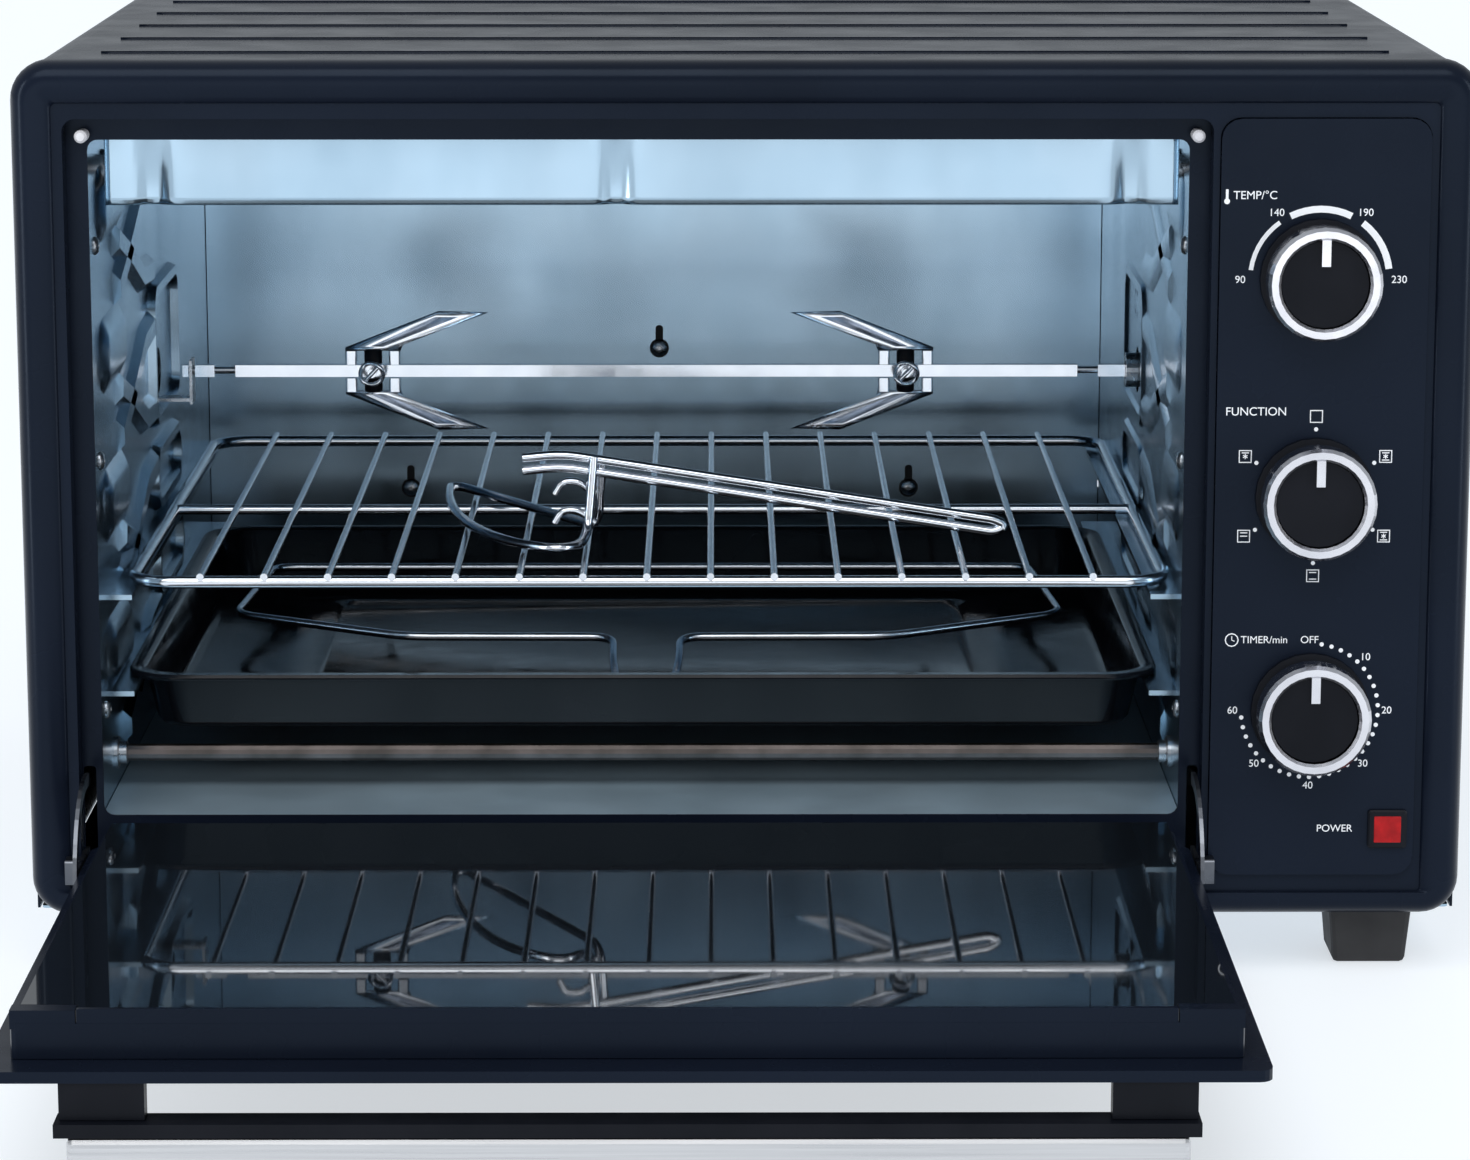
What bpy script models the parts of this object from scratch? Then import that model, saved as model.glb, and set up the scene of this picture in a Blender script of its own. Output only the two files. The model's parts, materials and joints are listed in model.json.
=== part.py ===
"""Countertop rotisserie oven with a drop-down glass door, shown with the door open.

Sizes are millimetres in the oven's own layout: X to the right, Y into the oven with 0 at the front
of the bezel, Z up with 0 at the underside of the body. The builders convert them to metres, and the
empty called oven_origin moves the whole oven so that its box is centred over the counter at Z = 0.
Door pieces are laid out with the door shut, and the empty on the hinge axis swings them open.
"""
from math import cos, pi, radians, sin

import bmesh
import bpy
from mathutils import Matrix, Vector

MM = 0.001
GAP = 0.3  # air left between touching pieces

# Body
WIDTH = 560.0
HEIGHT = 335.0
BODY_BACK = 468.0
FOOT_HEIGHT = 24.0
BEZEL_DEPTH = 14.0
CORNER = 15.0
SHEET = 1.0
CASING_X = WIDTH / 2 - 0.8
CASING_TOP = HEIGHT - 0.9
RIB_FIRST, RIB_PITCH, RIB_COUNT = 51.0, 63.0, 7
RIB_X = 250.0

# Door recess, control panel and cavity mouth, as (low X, low Z, high X, high Z)
RECESS = (-260.0, 12.0, 178.0, 313.0)
PANEL_OPENING = (180.6, 16.8, 261.2, 313.5)
MOUTH = (-252.0, 38.0, 170.0, 304.0)
PLATE_Y = BEZEL_DEPTH + GAP
CAVITY_X = (-253.3, 171.3)
CAVITY_Z = (37.4, 305.3)
CAVITY_FRONT = PLATE_Y + SHEET + GAP
CAVITY_BACK = 443.0

# Cooking levels and heaters
RACK_Z = 124.0
CROSS_WIRE_RISE = 3.0
CROSS_WIRE_FIRST, CROSS_WIRE_PITCH, CROSS_WIRE_COUNT = -216.1, 25.3, 15
TRAY_RIM_Z = 85.0
HEATER_RADIUS = 3.5
HEATERS = {
    "upper_heater_front": (70.0, 288.0),
    "upper_heater_rear": (350.0, 288.0),
    "lower_heater_front": (65.0, 51.5),
    "lower_heater_rear": (350.0, 51.5),
}
SPIT_Y, SPIT_Z = 240.0, 180.0
SPIT_SIZE = 5.1
FORK_HUBS = {"left": (-160.0, 1), "right": (70.6, -1)}
WALL_HOLE_RADIUS = 10.0  # both side walls are pierced on the spit's axis
FAN_Y, FAN_Z = 292.0, 176.0
FAN_RADIUS = 40.0
VENT_Y, VENT_RADIUS, VENT_PITCH = 250.0, 1.6, 9.0
VENT_HEIGHTS = (SPIT_Z + 28.0, SPIT_Z - 39.0, SPIT_Z - 79.0)

# Wire lifting tool on the rack
TOOL_WIRE = 2.0
TOOL_TAIL_X, TOOL_NOSE_X, TOOL_Y = -91.0, 103.0, 110.0
TOOL_RISE, TOOL_WIRE_GAP = 29.0, 5.2
SWEEP_X, SWEEP_Y = -67.0, 228.0
SWEEP_ACROSS, SWEEP_DEEP = 60.0, 146.0

# Tray, and the wire insert that stands in it
TRAY_X, TRAY_Y = (-248.0, 166.0), (55.0, 380.0)
INSERT_WIRE = 1.8

# Controls
KNOB_X = 219.2
TIMER_Z, KNOB_PITCH = 83.0, 84.6
KNOB_HEIGHTS = {
    "temperature": TIMER_Z + 2 * KNOB_PITCH,
    "function": TIMER_Z + KNOB_PITCH,
    "timer": TIMER_Z,
}
LAMP_X, LAMP_Z, LAMP_SIZE = 250.6, 35.7, 12.0
CONTROL_BODIES = {
    "thermostat": ("temperature", 26.0),
    "function_switch": ("function", 30.0),
    "timer_movement": ("timer", 38.0),
}
PANEL_FACE = 0.8

# Door, laid out shut
HINGE_Y, HINGE_Z = -3.5, 20.5
HINGE_LUGS = {"left": (-265.0, -258.1), "right": (176.1, 182.5)}
DOOR_X = (-255.5, 173.3)
DOOR_Z = (14.0, 311.0)
DOOR_SKIN = 4.0
FRAME_X = (-247.0, 165.0)
FRAME_Z = (40.0, 297.0)
FRAME_TOP_Y = 16.5
CORNER_BLOCK_WIDTH, CORNER_BLOCK_HEIGHT = 22.0, 7.0
GLASS_FACE_Y = 21.0
ARM_RADIUS = 35.5
HANDLE_X = (-231.0, 149.5)
HANDLE_BAR_X = (-227.0, 146.0)
HANDLE_POSTS = {"left": (-229.5, -201.0), "right": (120.0, 148.5)}
HANDLE_Z = (301.0, 314.0)
HANDLE_REACH = 36.0

OVEN_SHIFT_Y = 89.0

FINISHES = {
    "navy_paint": ((0.035, 0.04, 0.07), 0.38, 0.2),
    "galvanised": ((0.55, 0.62, 0.68), 0.32, 0.9),
    "chrome": ((0.8, 0.82, 0.85), 0.12, 1.0),
    "brushed_steel": ((0.62, 0.62, 0.63), 0.35, 1.0),
    "heater_sheath": ((0.16, 0.12, 0.10), 0.4, 0.8),
    "enamel": ((0.012, 0.013, 0.018), 0.12, 0.0),
    "black_plastic": ((0.018, 0.018, 0.022), 0.45, 0.0),
    "silver_plastic": ((0.7, 0.7, 0.72), 0.3, 0.6),
    "dark_glass": ((0.05, 0.06, 0.07), 0.04, 0.0),
    "red_lens": ((0.6, 0.02, 0.02), 0.15, 0.0),
    "white_rubber": ((0.75, 0.75, 0.78), 0.6, 0.0),
    "black_rubber": ((0.02, 0.02, 0.022), 0.7, 0.0),
    "plated_steel": ((0.5, 0.5, 0.52), 0.3, 1.0),
}


# ---------------------------------------------------------------- scene helpers

def clear_scene():
    for old in list(bpy.data.objects):
        bpy.data.objects.remove(old, do_unlink=True)


def make_collection(name):
    found = bpy.data.collections.get(name) or bpy.data.collections.new(name)
    if name not in bpy.context.scene.collection.children:
        bpy.context.scene.collection.children.link(found)
    return found


def make_material(name, finish):
    colour, roughness, metallic = FINISHES[finish]
    material = bpy.data.materials.new(name)
    material.use_nodes = True
    shader = material.node_tree.nodes["Principled BSDF"]
    shader.inputs["Base Color"].default_value = (*colour, 1.0)
    shader.inputs["Roughness"].default_value = roughness
    shader.inputs["Metallic"].default_value = metallic
    return material


def make_empty(name, location, parent=None):
    empty = bpy.data.objects.new(name, None)
    empty.location = [value * MM for value in location]
    empty.parent = parent
    PARTS.objects.link(empty)
    return empty


def place(piece, name, finish, parent, origin=(0.0, 0.0, 0.0)):
    """Name a piece, give it its material and hang it on its empty, whose place in the layout is origin."""
    piece.name = name
    piece.data.name = name
    piece.data.materials.clear()
    piece.data.materials.append(make_material(name, finish))
    piece.parent = parent
    piece.location = [-value * MM for value in origin]
    if piece.type == "MESH":
        piece.data.shade_smooth()
        piece.data.set_sharp_from_angle(angle=radians(35))
    return piece


def store(piece, collection=None):
    for owner in list(piece.users_collection):
        owner.objects.unlink(piece)
    (collection or PARTS).objects.link(piece)
    return piece


def as_tool(piece):
    """Keep a cutter or an added lump out of the finished parts."""
    store(piece, TOOLS)
    piece.hide_render = True
    piece.display_type = "WIRE"
    return piece


def combine(piece, tool, operation):
    """Cut a shape away from a piece, or join a shape to it, and bake the result into its mesh."""
    step = piece.modifiers.new(operation.title(), "BOOLEAN")
    step.operation = operation
    step.solver = "EXACT"
    step.object = as_tool(tool)
    bpy.context.view_layer.update()
    baked = bpy.data.meshes.new_from_object(piece.evaluated_get(bpy.context.evaluated_depsgraph_get()))
    piece.modifiers.clear()
    piece.data = baked
    bpy.data.objects.remove(tool, do_unlink=True)
    return piece


def cut(piece, *tools):
    for tool in tools:
        combine(piece, tool, "DIFFERENCE")
    return piece


def join(piece, *tools):
    for tool in tools:
        combine(piece, tool, "UNION")
    return piece


# ---------------------------------------------------------------- shape builders

def mesh_object(mesh):
    return store(bpy.data.objects.new("piece", mesh))


def box(low, high, bevel=0.0):
    """A block between two corners, with its edges rounded off when bevel is given."""
    mesh = bpy.data.meshes.new("block")
    form = bmesh.new()
    bmesh.ops.create_cube(form, size=1.0)
    size = [(b - a) * MM for a, b in zip(low, high)]
    centre = [(a + b) / 2 * MM for a, b in zip(low, high)]
    bmesh.ops.scale(form, vec=size, verts=form.verts)
    bmesh.ops.translate(form, vec=centre, verts=form.verts)
    form.to_mesh(mesh)
    form.free()
    piece = mesh_object(mesh)
    if bevel:
        edge = piece.modifiers.new("Rounded edges", "BEVEL")
        edge.width = bevel * MM
        edge.segments = 2
    return piece


AXIS_TURN = {
    "X": Matrix(((0, 0, 1), (1, 0, 0), (0, 1, 0))).to_4x4(),
    "Y": Matrix(((1, 0, 0), (0, 0, -1), (0, 1, 0))).to_4x4(),
    "Z": Matrix.Identity(4),
}


def cylinder(axis, centre, radius, length, sides=20):
    """A round bar along one axis, centred on a point."""
    mesh = bpy.data.meshes.new("bar")
    form = bmesh.new()
    bmesh.ops.create_cone(form, cap_ends=True, segments=sides, radius1=radius * MM,
                          radius2=radius * MM, depth=length * MM)
    form.transform(AXIS_TURN[axis])
    bmesh.ops.translate(form, vec=[value * MM for value in centre], verts=form.verts)
    form.to_mesh(mesh)
    form.free()
    return mesh_object(mesh)


def curve_to_mesh(curve):
    """Turn a filled or bevelled curve into a closed mesh."""
    holder = bpy.data.objects.new("outline", curve)
    PARTS.objects.link(holder)
    bpy.context.view_layer.update()
    mesh = bpy.data.meshes.new_from_object(holder.evaluated_get(bpy.context.evaluated_depsgraph_get()))
    bpy.data.objects.remove(holder, do_unlink=True)
    form = bmesh.new()
    form.from_mesh(mesh)
    bmesh.ops.remove_doubles(form, verts=form.verts, dist=0.00001)
    bmesh.ops.recalc_face_normals(form, faces=form.faces)
    form.to_mesh(mesh)
    form.free()
    return mesh


def prism(axis, start, end, *loops):
    """A flat outline, with holes, given thickness along an axis from start to end.

    Outline points are (X, Z) for axis Y, (Y, Z) for axis X and (X, Y) for axis Z.
    """
    curve = bpy.data.curves.new("outline", "CURVE")
    curve.dimensions = "2D"
    curve.fill_mode = "BOTH"
    curve.extrude = (end - start) / 2 * MM
    for loop in loops:
        spline = curve.splines.new("POLY")
        spline.points.add(len(loop) - 1)
        for point, (u, v) in zip(spline.points, loop):
            point.co = (u * MM, v * MM, 0.0, 1.0)
        spline.use_cyclic_u = True
    mesh = curve_to_mesh(curve)
    middle = (start + end) / 2 * MM
    shift = {"X": (middle, 0, 0), "Y": (0, middle, 0), "Z": (0, 0, middle)}[axis]
    mesh.transform(Matrix.Translation(shift) @ AXIS_TURN[axis])
    return mesh_object(mesh)


def rounded(low_u, low_v, high_u, high_v, radius, steps=4):
    """A rectangle's outline with quarter-round corners, counter-clockwise."""
    centres = (
        (high_u - radius, high_v - radius, 0.0),
        (low_u + radius, high_v - radius, 0.5 * pi),
        (low_u + radius, low_v + radius, pi),
        (high_u - radius, low_v + radius, 1.5 * pi),
    )
    points = []
    for u, v, first in centres:
        for step in range(steps + 1):
            angle = first + 0.5 * pi * step / steps
            points.append((u + radius * cos(angle), v + radius * sin(angle)))
    return points


def circle(u, v, radius, sides=16):
    turns = [2 * pi * k / sides for k in range(sides)]
    return [(u + radius * cos(turn), v + radius * sin(turn)) for turn in turns]


def turned(axis, place_at, profile, sides=24, closed=False):
    """A turned piece: profile pairs are (radius, distance along the axis), run from far end to near."""
    mesh = bpy.data.meshes.new("profile")
    points = [(radius * MM, 0.0, along * MM) for radius, along in profile]
    edges = [(k, k + 1) for k in range(len(points) - 1)]
    if closed:
        edges.append((len(points) - 1, 0))
    mesh.from_pydata(points, edges, [])
    piece = mesh_object(mesh)
    screw = piece.modifiers.new("Turn", "SCREW")
    screw.steps = sides
    screw.render_steps = sides
    screw.use_merge_vertices = True
    screw.merge_threshold = 0.00001
    bpy.context.view_layer.update()
    solid = bpy.data.meshes.new_from_object(piece.evaluated_get(bpy.context.evaluated_depsgraph_get()))
    piece.modifiers.clear()
    piece.data = solid
    form = bmesh.new()
    form.from_mesh(solid)
    bmesh.ops.recalc_face_normals(form, faces=form.faces)
    form.to_mesh(solid)
    form.free()
    solid.transform(Matrix.Translation([value * MM for value in place_at]) @ AXIS_TURN[axis])
    return piece


def wire(points, radius, closed=False, sides_level=1):
    """A round wire through the given points."""
    curve = bpy.data.curves.new("wire", "CURVE")
    curve.dimensions = "3D"
    curve.bevel_depth = radius * MM
    curve.bevel_resolution = sides_level
    curve.use_fill_caps = True
    spline = curve.splines.new("POLY")
    spline.points.add(len(points) - 1)
    for point, position in zip(spline.points, points):
        point.co = (*[value * MM for value in position], 1.0)
    spline.use_cyclic_u = closed
    return mesh_object(curve_to_mesh(curve))


def lofted_pan(loops):
    """A pressed sheet through matching loops, closed across the last one, before it is thickened."""
    mesh = bpy.data.meshes.new("pan")
    form = bmesh.new()
    rings = [[form.verts.new([value * MM for value in point]) for point in loop] for loop in loops]
    for outer, inner in zip(rings, rings[1:]):
        for k in range(len(outer)):
            after = (k + 1) % len(outer)
            form.faces.new((outer[k], outer[after], inner[after], inner[k]))
    form.faces.new(rings[-1])
    bmesh.ops.recalc_face_normals(form, faces=form.faces)
    form.to_mesh(mesh)
    form.free()
    return mesh_object(mesh)


def thicken(piece, thickness, offset):
    shell = piece.modifiers.new("Sheet", "SOLIDIFY")
    shell.thickness = thickness * MM
    shell.offset = offset
    return piece


# ---------------------------------------------------------------- fixed body

def build_casing(frame):
    """Painted wrap: both sides and the top in one bent sheet, with pressed ribs across the top."""
    side, top, inner = CASING_X, CASING_TOP, SHEET

    def bend(radius, reach, height):
        arc = []
        for step in range(7):
            angle = 0.5 * pi * step / 6
            arc.append((reach - CORNER + radius * cos(angle), height - CORNER + radius * sin(angle)))
        return arc

    outside = [(side, 0.6), *bend(CORNER, side, top)]
    inside = [(side - inner, 0.6), *bend(CORNER - inner, side, top)]
    mirrored_out = [(-x, z) for x, z in reversed(outside)]
    mirrored_in = [(-x, z) for x, z in inside]
    outline = outside + mirrored_out + mirrored_in + list(reversed(inside))
    casing = prism("Y", PLATE_Y, BODY_BACK - 2.0, outline)
    for index in range(RIB_COUNT):
        middle = RIB_FIRST + index * RIB_PITCH
        casing = join(casing, box((-RIB_X, middle - 3.0, top - 0.5), (RIB_X, middle + 3.0, HEIGHT - 0.1)))
    place(casing, "outer_casing", "navy_paint", frame)


def build_bezel(frame):
    half = WIDTH / 2
    bezel = prism("Y", 0.0, BEZEL_DEPTH, rounded(-half, 0.0, half, HEIGHT, CORNER, 6),
                  rounded(*RECESS, 5.0), rounded(*PANEL_OPENING, 8.0))
    place(bezel, "front_bezel", "navy_paint", frame)


def build_front_plate(frame):
    slots = [rounded(-259.7, 13.0, -254.8, 58.0, 1.5), rounded(173.2, 13.0, 177.6, 58.0, 1.5)]
    plate = prism("Y", PLATE_Y, PLATE_Y + SHEET, rounded(-272.0, 3.0, 179.8, 329.0, 3.0),
                  rounded(*MOUTH, 4.0), *slots)
    place(plate, "front_plate", "navy_paint", frame)


def build_panel(frame):
    low_x, low_z, high_x, high_z = PANEL_OPENING
    half_lamp = LAMP_SIZE / 2 + GAP
    holes = [circle(KNOB_X, z, 3.6) for z in KNOB_HEIGHTS.values()]
    lamp_hole = rounded(LAMP_X - half_lamp, LAMP_Z - half_lamp, LAMP_X + half_lamp, LAMP_Z + half_lamp, 1.0)
    panel = prism("Y", PANEL_FACE, PANEL_FACE + 2.5,
                  rounded(low_x + GAP, low_z + GAP, high_x - GAP, high_z - GAP, 7.7), *holes, lamp_hole)
    place(panel, "control_panel", "navy_paint", frame)
    half = LAMP_SIZE / 2
    lens = box((LAMP_X - half, -1.2, LAMP_Z - half), (LAMP_X + half, 12.0, LAMP_Z + half), 1.0)
    place(lens, "power_lamp_lens", "red_lens", frame)


def build_back_and_base(frame):
    vents = []
    for column in range(-3, 4):
        for z in (60.0, 90.0, 250.0, 280.0):
            vents.append(rounded(column * 60.0 - 20.0, z - 2.5, column * 60.0 + 20.0, z + 2.5, 2.4, 3))
    back = prism("Y", BODY_BACK - 1.7, BODY_BACK,
                 rounded(-CASING_X, 0.6, CASING_X, CASING_TOP, CORNER, 5), *vents, circle(215.0, 30.0, 7.6))
    place(back, "back_cover", "navy_paint", frame)
    gland = turned("Y", (215.0, BODY_BACK + GAP, 30.0),
                   [(3.8, 6.0), (3.8, -6.7), (9.5, -6.7), (9.5, 0.0), (7.2, 0.0), (7.2, 6.0)], 20, True)
    place(gland, "cord_inlet_gland", "black_rubber", frame)
    slots = [rounded(x - 2.5, 120.0, x + 2.5, 180.0, 2.4, 3) for x in (-220, -180, -140, 40, 80, 120)]
    base = prism("Z", 0.0, SHEET, rounded(-277.8, PLATE_Y + 1.5, 277.8, BODY_BACK - 2.3, 2.0), *slots)
    place(base, "base_plate", "galvanised", frame)


def build_cavity(frame):
    """Five galvanised sheets around the cooking space; the side sheets carry the shelf ledges."""
    left, right = CAVITY_X
    bottom, top = CAVITY_Z
    back = CAVITY_BACK
    side_outline = rounded(CAVITY_FRONT, bottom - 1.3, back + 1.3, top + 2.7, 1.0, 2)
    levels = (TRAY_RIM_Z - 2.8, RACK_Z - 2.8)
    openings = {side: [circle(SPIT_Y, SPIT_Z, WALL_HOLE_RADIUS, 20)] for side in ("left", "right")}
    for height in VENT_HEIGHTS:
        for across in (-0.5, 0.5):
            for up in (-0.5, 0.5):
                openings["right"].append(circle(VENT_Y + across * VENT_PITCH, height + up * VENT_PITCH,
                                                VENT_RADIUS, 8))
    for name, inner, outward in (("left", left, -1), ("right", right, 1)):
        holes = [circle(y, z, HEATER_RADIUS + 0.7, 12) for y, z in HEATERS.values()] + openings[name]
        faces = sorted((inner, inner + outward * SHEET))
        wall = prism("X", *faces, side_outline, *holes)
        for level in levels:
            reach = sorted((inner + outward * 0.5, inner - outward * 11.0))
            wall = join(wall, box((reach[0], 40.0, level - 2.0), (reach[1], 405.0, level)))
        place(wall, f"cavity_{name}_wall", "galvanised", frame)
    inside = (left + GAP, right - GAP)
    roof = box((inside[0], CAVITY_FRONT, top), (inside[1], back + 1.0, top + SHEET))
    place(roof, "cavity_top", "galvanised", frame)
    floor = box((inside[0], CAVITY_FRONT, bottom - SHEET), (inside[1], back + 1.0, bottom))
    place(floor, "cavity_floor", "galvanised", frame)
    rear = box((inside[0], back, bottom + GAP), (inside[1], back + SHEET, top - GAP))
    place(rear, "cavity_back_wall", "galvanised", frame)
    lip = [(30.0, 277.0), (31.0, 277.0), (31.0, 303.4), (50.0, 303.4), (50.0, 304.4), (30.0, 304.4)]
    place(prism("X", -247.5, 167.5, lip), "top_deflector", "galvanised", frame)


def build_heaters(frame):
    for name, (y, z) in HEATERS.items():
        middle = (CAVITY_X[0] + CAVITY_X[1]) / 2
        half = (CAVITY_X[1] - CAVITY_X[0]) / 2 + 8.0
        profile = [(0.0, half), (HEATER_RADIUS, half), (HEATER_RADIUS, -half), (0.0, -half)]
        place(turned("X", (middle, y, z), profile, 12), name, "heater_sheath", frame)


def build_feet_and_bumpers(frame):
    for end, y in (("front", 34.0), ("rear", 436.0)):
        for side, x in (("left", -247.5), ("right", 247.5)):
            foot = box((x - 16.4, y - 16.4, -FOOT_HEIGHT), (x + 16.4, y + 16.4, -GAP), 2.0)
            for vertex in foot.data.vertices:
                if vertex.co.z < -FOOT_HEIGHT * MM / 2:
                    vertex.co.x = x * MM + (vertex.co.x - x * MM) * 0.87
                    vertex.co.y = y * MM + (vertex.co.y - y * MM) * 0.87
            place(foot, f"foot_{end}_{side}", "black_rubber", frame)
    for side, x in (("left", -253.3), ("right", 172.6)):
        bumper = turned("Y", (x, BEZEL_DEPTH, 306.0),
                        [(0.0, 9.2), (1.6, 9.0), (2.5, 8.0), (2.5, 0.0), (0.0, 0.0)], 16)
        place(bumper, f"door_bumper_{side}", "white_rubber", frame)


def build_hinge_lugs(frame):
    """Knuckles on the front of the bezel, each bored for a hinge pin."""
    for side, (low, high) in HINGE_LUGS.items():
        plate = prism("X", low, high, rounded(HINGE_Y - 5.2, HINGE_Z - 5.0, -GAP, HINGE_Z + 5.0, 1.5),
                      circle(HINGE_Y, HINGE_Z, 2.3, 12))
        place(plate, f"hinge_lug_{side}", "plated_steel", frame)


def build_controls_inside(frame):
    """Thermostat, function switch and timer behind the panel, each with a bore for its knob's shaft."""
    for name, (knob, depth) in CONTROL_BODIES.items():
        z = KNOB_HEIGHTS[knob]
        front = PANEL_FACE + 2.5 + GAP
        body = box((KNOB_X - 19.0, front, z - 19.0), (KNOB_X + 19.0, front + depth, z + 19.0), 2.0)
        body = cut(body, cylinder("Y", (KNOB_X, front + 5.0, z), 3.5, 16.0, 16))
        place(body, name, "black_plastic", frame)


def build_drives(frame):
    motor = box((182.0, SPIT_Y - 44.0, SPIT_Z - 26.0), (214.0, SPIT_Y + 9.5, SPIT_Z + 26.0), 3.0)
    motor = cut(motor, cylinder("X", (186.0, SPIT_Y, SPIT_Z), 4.4, 16.0, 16))
    place(motor, "rotisserie_motor", "plated_steel", frame)
    fan_motor = turned("X", (0.0, FAN_Y, FAN_Z),
                       [(0.0, 236.0), (22.0, 236.0), (24.0, 234.0), (24.0, 202.0),
                        (3.4, 202.0), (3.4, 216.0), (0.0, 216.0)])
    place(fan_motor, "fan_motor", "plated_steel", frame)
    hook = prism("X", -239.2, -238.0, [
        (SPIT_Y - 6.0, SPIT_Z - 14.0), (SPIT_Y + 6.0, SPIT_Z - 14.0), (SPIT_Y + 6.0, SPIT_Z + 5.0),
        (SPIT_Y + 1.9, SPIT_Z + 5.0), (SPIT_Y + 1.9, SPIT_Z - 1.9), (SPIT_Y - 1.9, SPIT_Z - 1.9),
        (SPIT_Y - 1.9, SPIT_Z + 5.0), (SPIT_Y - 6.0, SPIT_Z + 5.0)])
    foot = box((CAVITY_X[0] + GAP, SPIT_Y - 5.0, SPIT_Z - 13.0), (-238.6, SPIT_Y + 5.0, SPIT_Z - 11.6))
    place(join(hook, foot), "spit_support_hook", "plated_steel", frame)


# ---------------------------------------------------------------- door

def build_door(door, origin):
    low_x, high_x = DOOR_X
    low_z, high_z = DOOR_Z
    skin = prism("Y", 0.0, DOOR_SKIN, rounded(low_x, low_z, high_x, high_z, 5.0),
                 rounded(low_x + 52.0, low_z + 60.0, high_x - 52.0, high_z - 58.0, 14.0))
    place(skin, "door_outer_panel", "navy_paint", door, origin)
    back = DOOR_SKIN + GAP
    ring = prism("Y", back, FRAME_TOP_Y, rounded(FRAME_X[0], FRAME_Z[0], FRAME_X[1], FRAME_Z[1], 2.0, 2),
                 rounded(FRAME_X[0] + 24.0, FRAME_Z[0] + 24.0, FRAME_X[1] - 24.0, FRAME_Z[1] - 24.0, 8.0))
    block_low, block_high = FRAME_Z[1] - CORNER_BLOCK_HEIGHT, FRAME_Z[1] - 0.1
    for start, end in ((FRAME_X[0] + 0.1, FRAME_X[0] + CORNER_BLOCK_WIDTH),
                       (FRAME_X[1] - CORNER_BLOCK_WIDTH, FRAME_X[1] - 0.1)):
        ring = join(ring, box((start, FRAME_TOP_Y - 2.0, block_low), (end, GLASS_FACE_Y, block_high)))
    place(ring, "door_inner_frame", "navy_paint", door, origin)
    glass_low, glass_high = FRAME_X[0] + 3.0, FRAME_X[1] - 3.0
    shoulder = FRAME_Z[1] - CORNER_BLOCK_HEIGHT - GAP
    inset = CORNER_BLOCK_WIDTH + GAP
    glass_outline = [
        (glass_low, FRAME_Z[0] + 3.0), (glass_high, FRAME_Z[0] + 3.0), (glass_high, shoulder),
        (FRAME_X[1] - inset, shoulder), (FRAME_X[1] - inset, FRAME_Z[1] - 0.5),
        (FRAME_X[0] + inset, FRAME_Z[1] - 0.5), (FRAME_X[0] + inset, shoulder), (glass_low, shoulder)]
    glass = prism("Y", FRAME_TOP_Y + GAP, GLASS_FACE_Y, glass_outline)
    place(glass, "door_glass", "dark_glass", door, origin)


def build_handle(door, origin):
    """Two standoff posts on the door, a black backing strip on them, and a steel bar on the strip."""
    low_z, high_z = HANDLE_Z
    strip_near, strip_far = -18.0, -13.3
    for side, (low_x, high_x) in HANDLE_POSTS.items():
        post = box((low_x, strip_far + GAP, low_z + 1.0), (high_x, -GAP, high_z - 4.0))
        place(post, f"handle_post_{side}", "black_plastic", door, origin)
    backing = box((HANDLE_X[0], strip_near, low_z), (HANDLE_X[1], strip_far, high_z))
    place(backing, "handle_backing", "black_plastic", door, origin)
    bar = box((HANDLE_BAR_X[0], -HANDLE_REACH, low_z + 0.5),
              (HANDLE_BAR_X[1], strip_near - GAP, high_z - 0.5), 2.0)
    place(bar, "handle_bar", "brushed_steel", door, origin)


def build_hinge_arms(door, origin):
    """Quadrant arms that run through the front plate's slots as the door swings, and their pins."""
    for side, low, high, pin_low, pin_high in (
            ("left", -257.6, -256.1, -264.0, -255.9), ("right", 173.9, 175.4, 173.7, 181.5)):
        arc = []
        for radius, steps in ((ARM_RADIUS + 2.5, range(0, 13)), (ARM_RADIUS - 2.5, range(12, -1, -1))):
            for step in steps:
                angle = radians(6.0 + 94.0 * step / 12)
                arc.append((HINGE_Y + radius * sin(angle), HINGE_Z + radius * cos(angle)))
        arm = prism("X", low, high, arc)
        leg = prism("X", low, high, [(HINGE_Y + 3.0, HINGE_Z - 4.0), (HINGE_Y + 8.5, HINGE_Z - 4.0),
                                     (HINGE_Y + 8.5, HINGE_Z + 33.4), (HINGE_Y + 3.6, HINGE_Z + 33.4)])
        ear = prism("X", low, high, circle(HINGE_Y, HINGE_Z, 5.5, 18))
        arm = join(arm, leg, ear)
        hole = cylinder("X", ((low + high) / 2, HINGE_Y, HINGE_Z), 2.3, 6.0, 12)
        place(cut(arm, hole), f"hinge_arm_{side}", "plated_steel", door, origin)
        pin = cylinder("X", ((pin_low + pin_high) / 2, HINGE_Y, HINGE_Z), 2.0, pin_high - pin_low, 12)
        place(pin, f"hinge_pin_{side}", "plated_steel", door, origin)


# ---------------------------------------------------------------- controls

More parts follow.
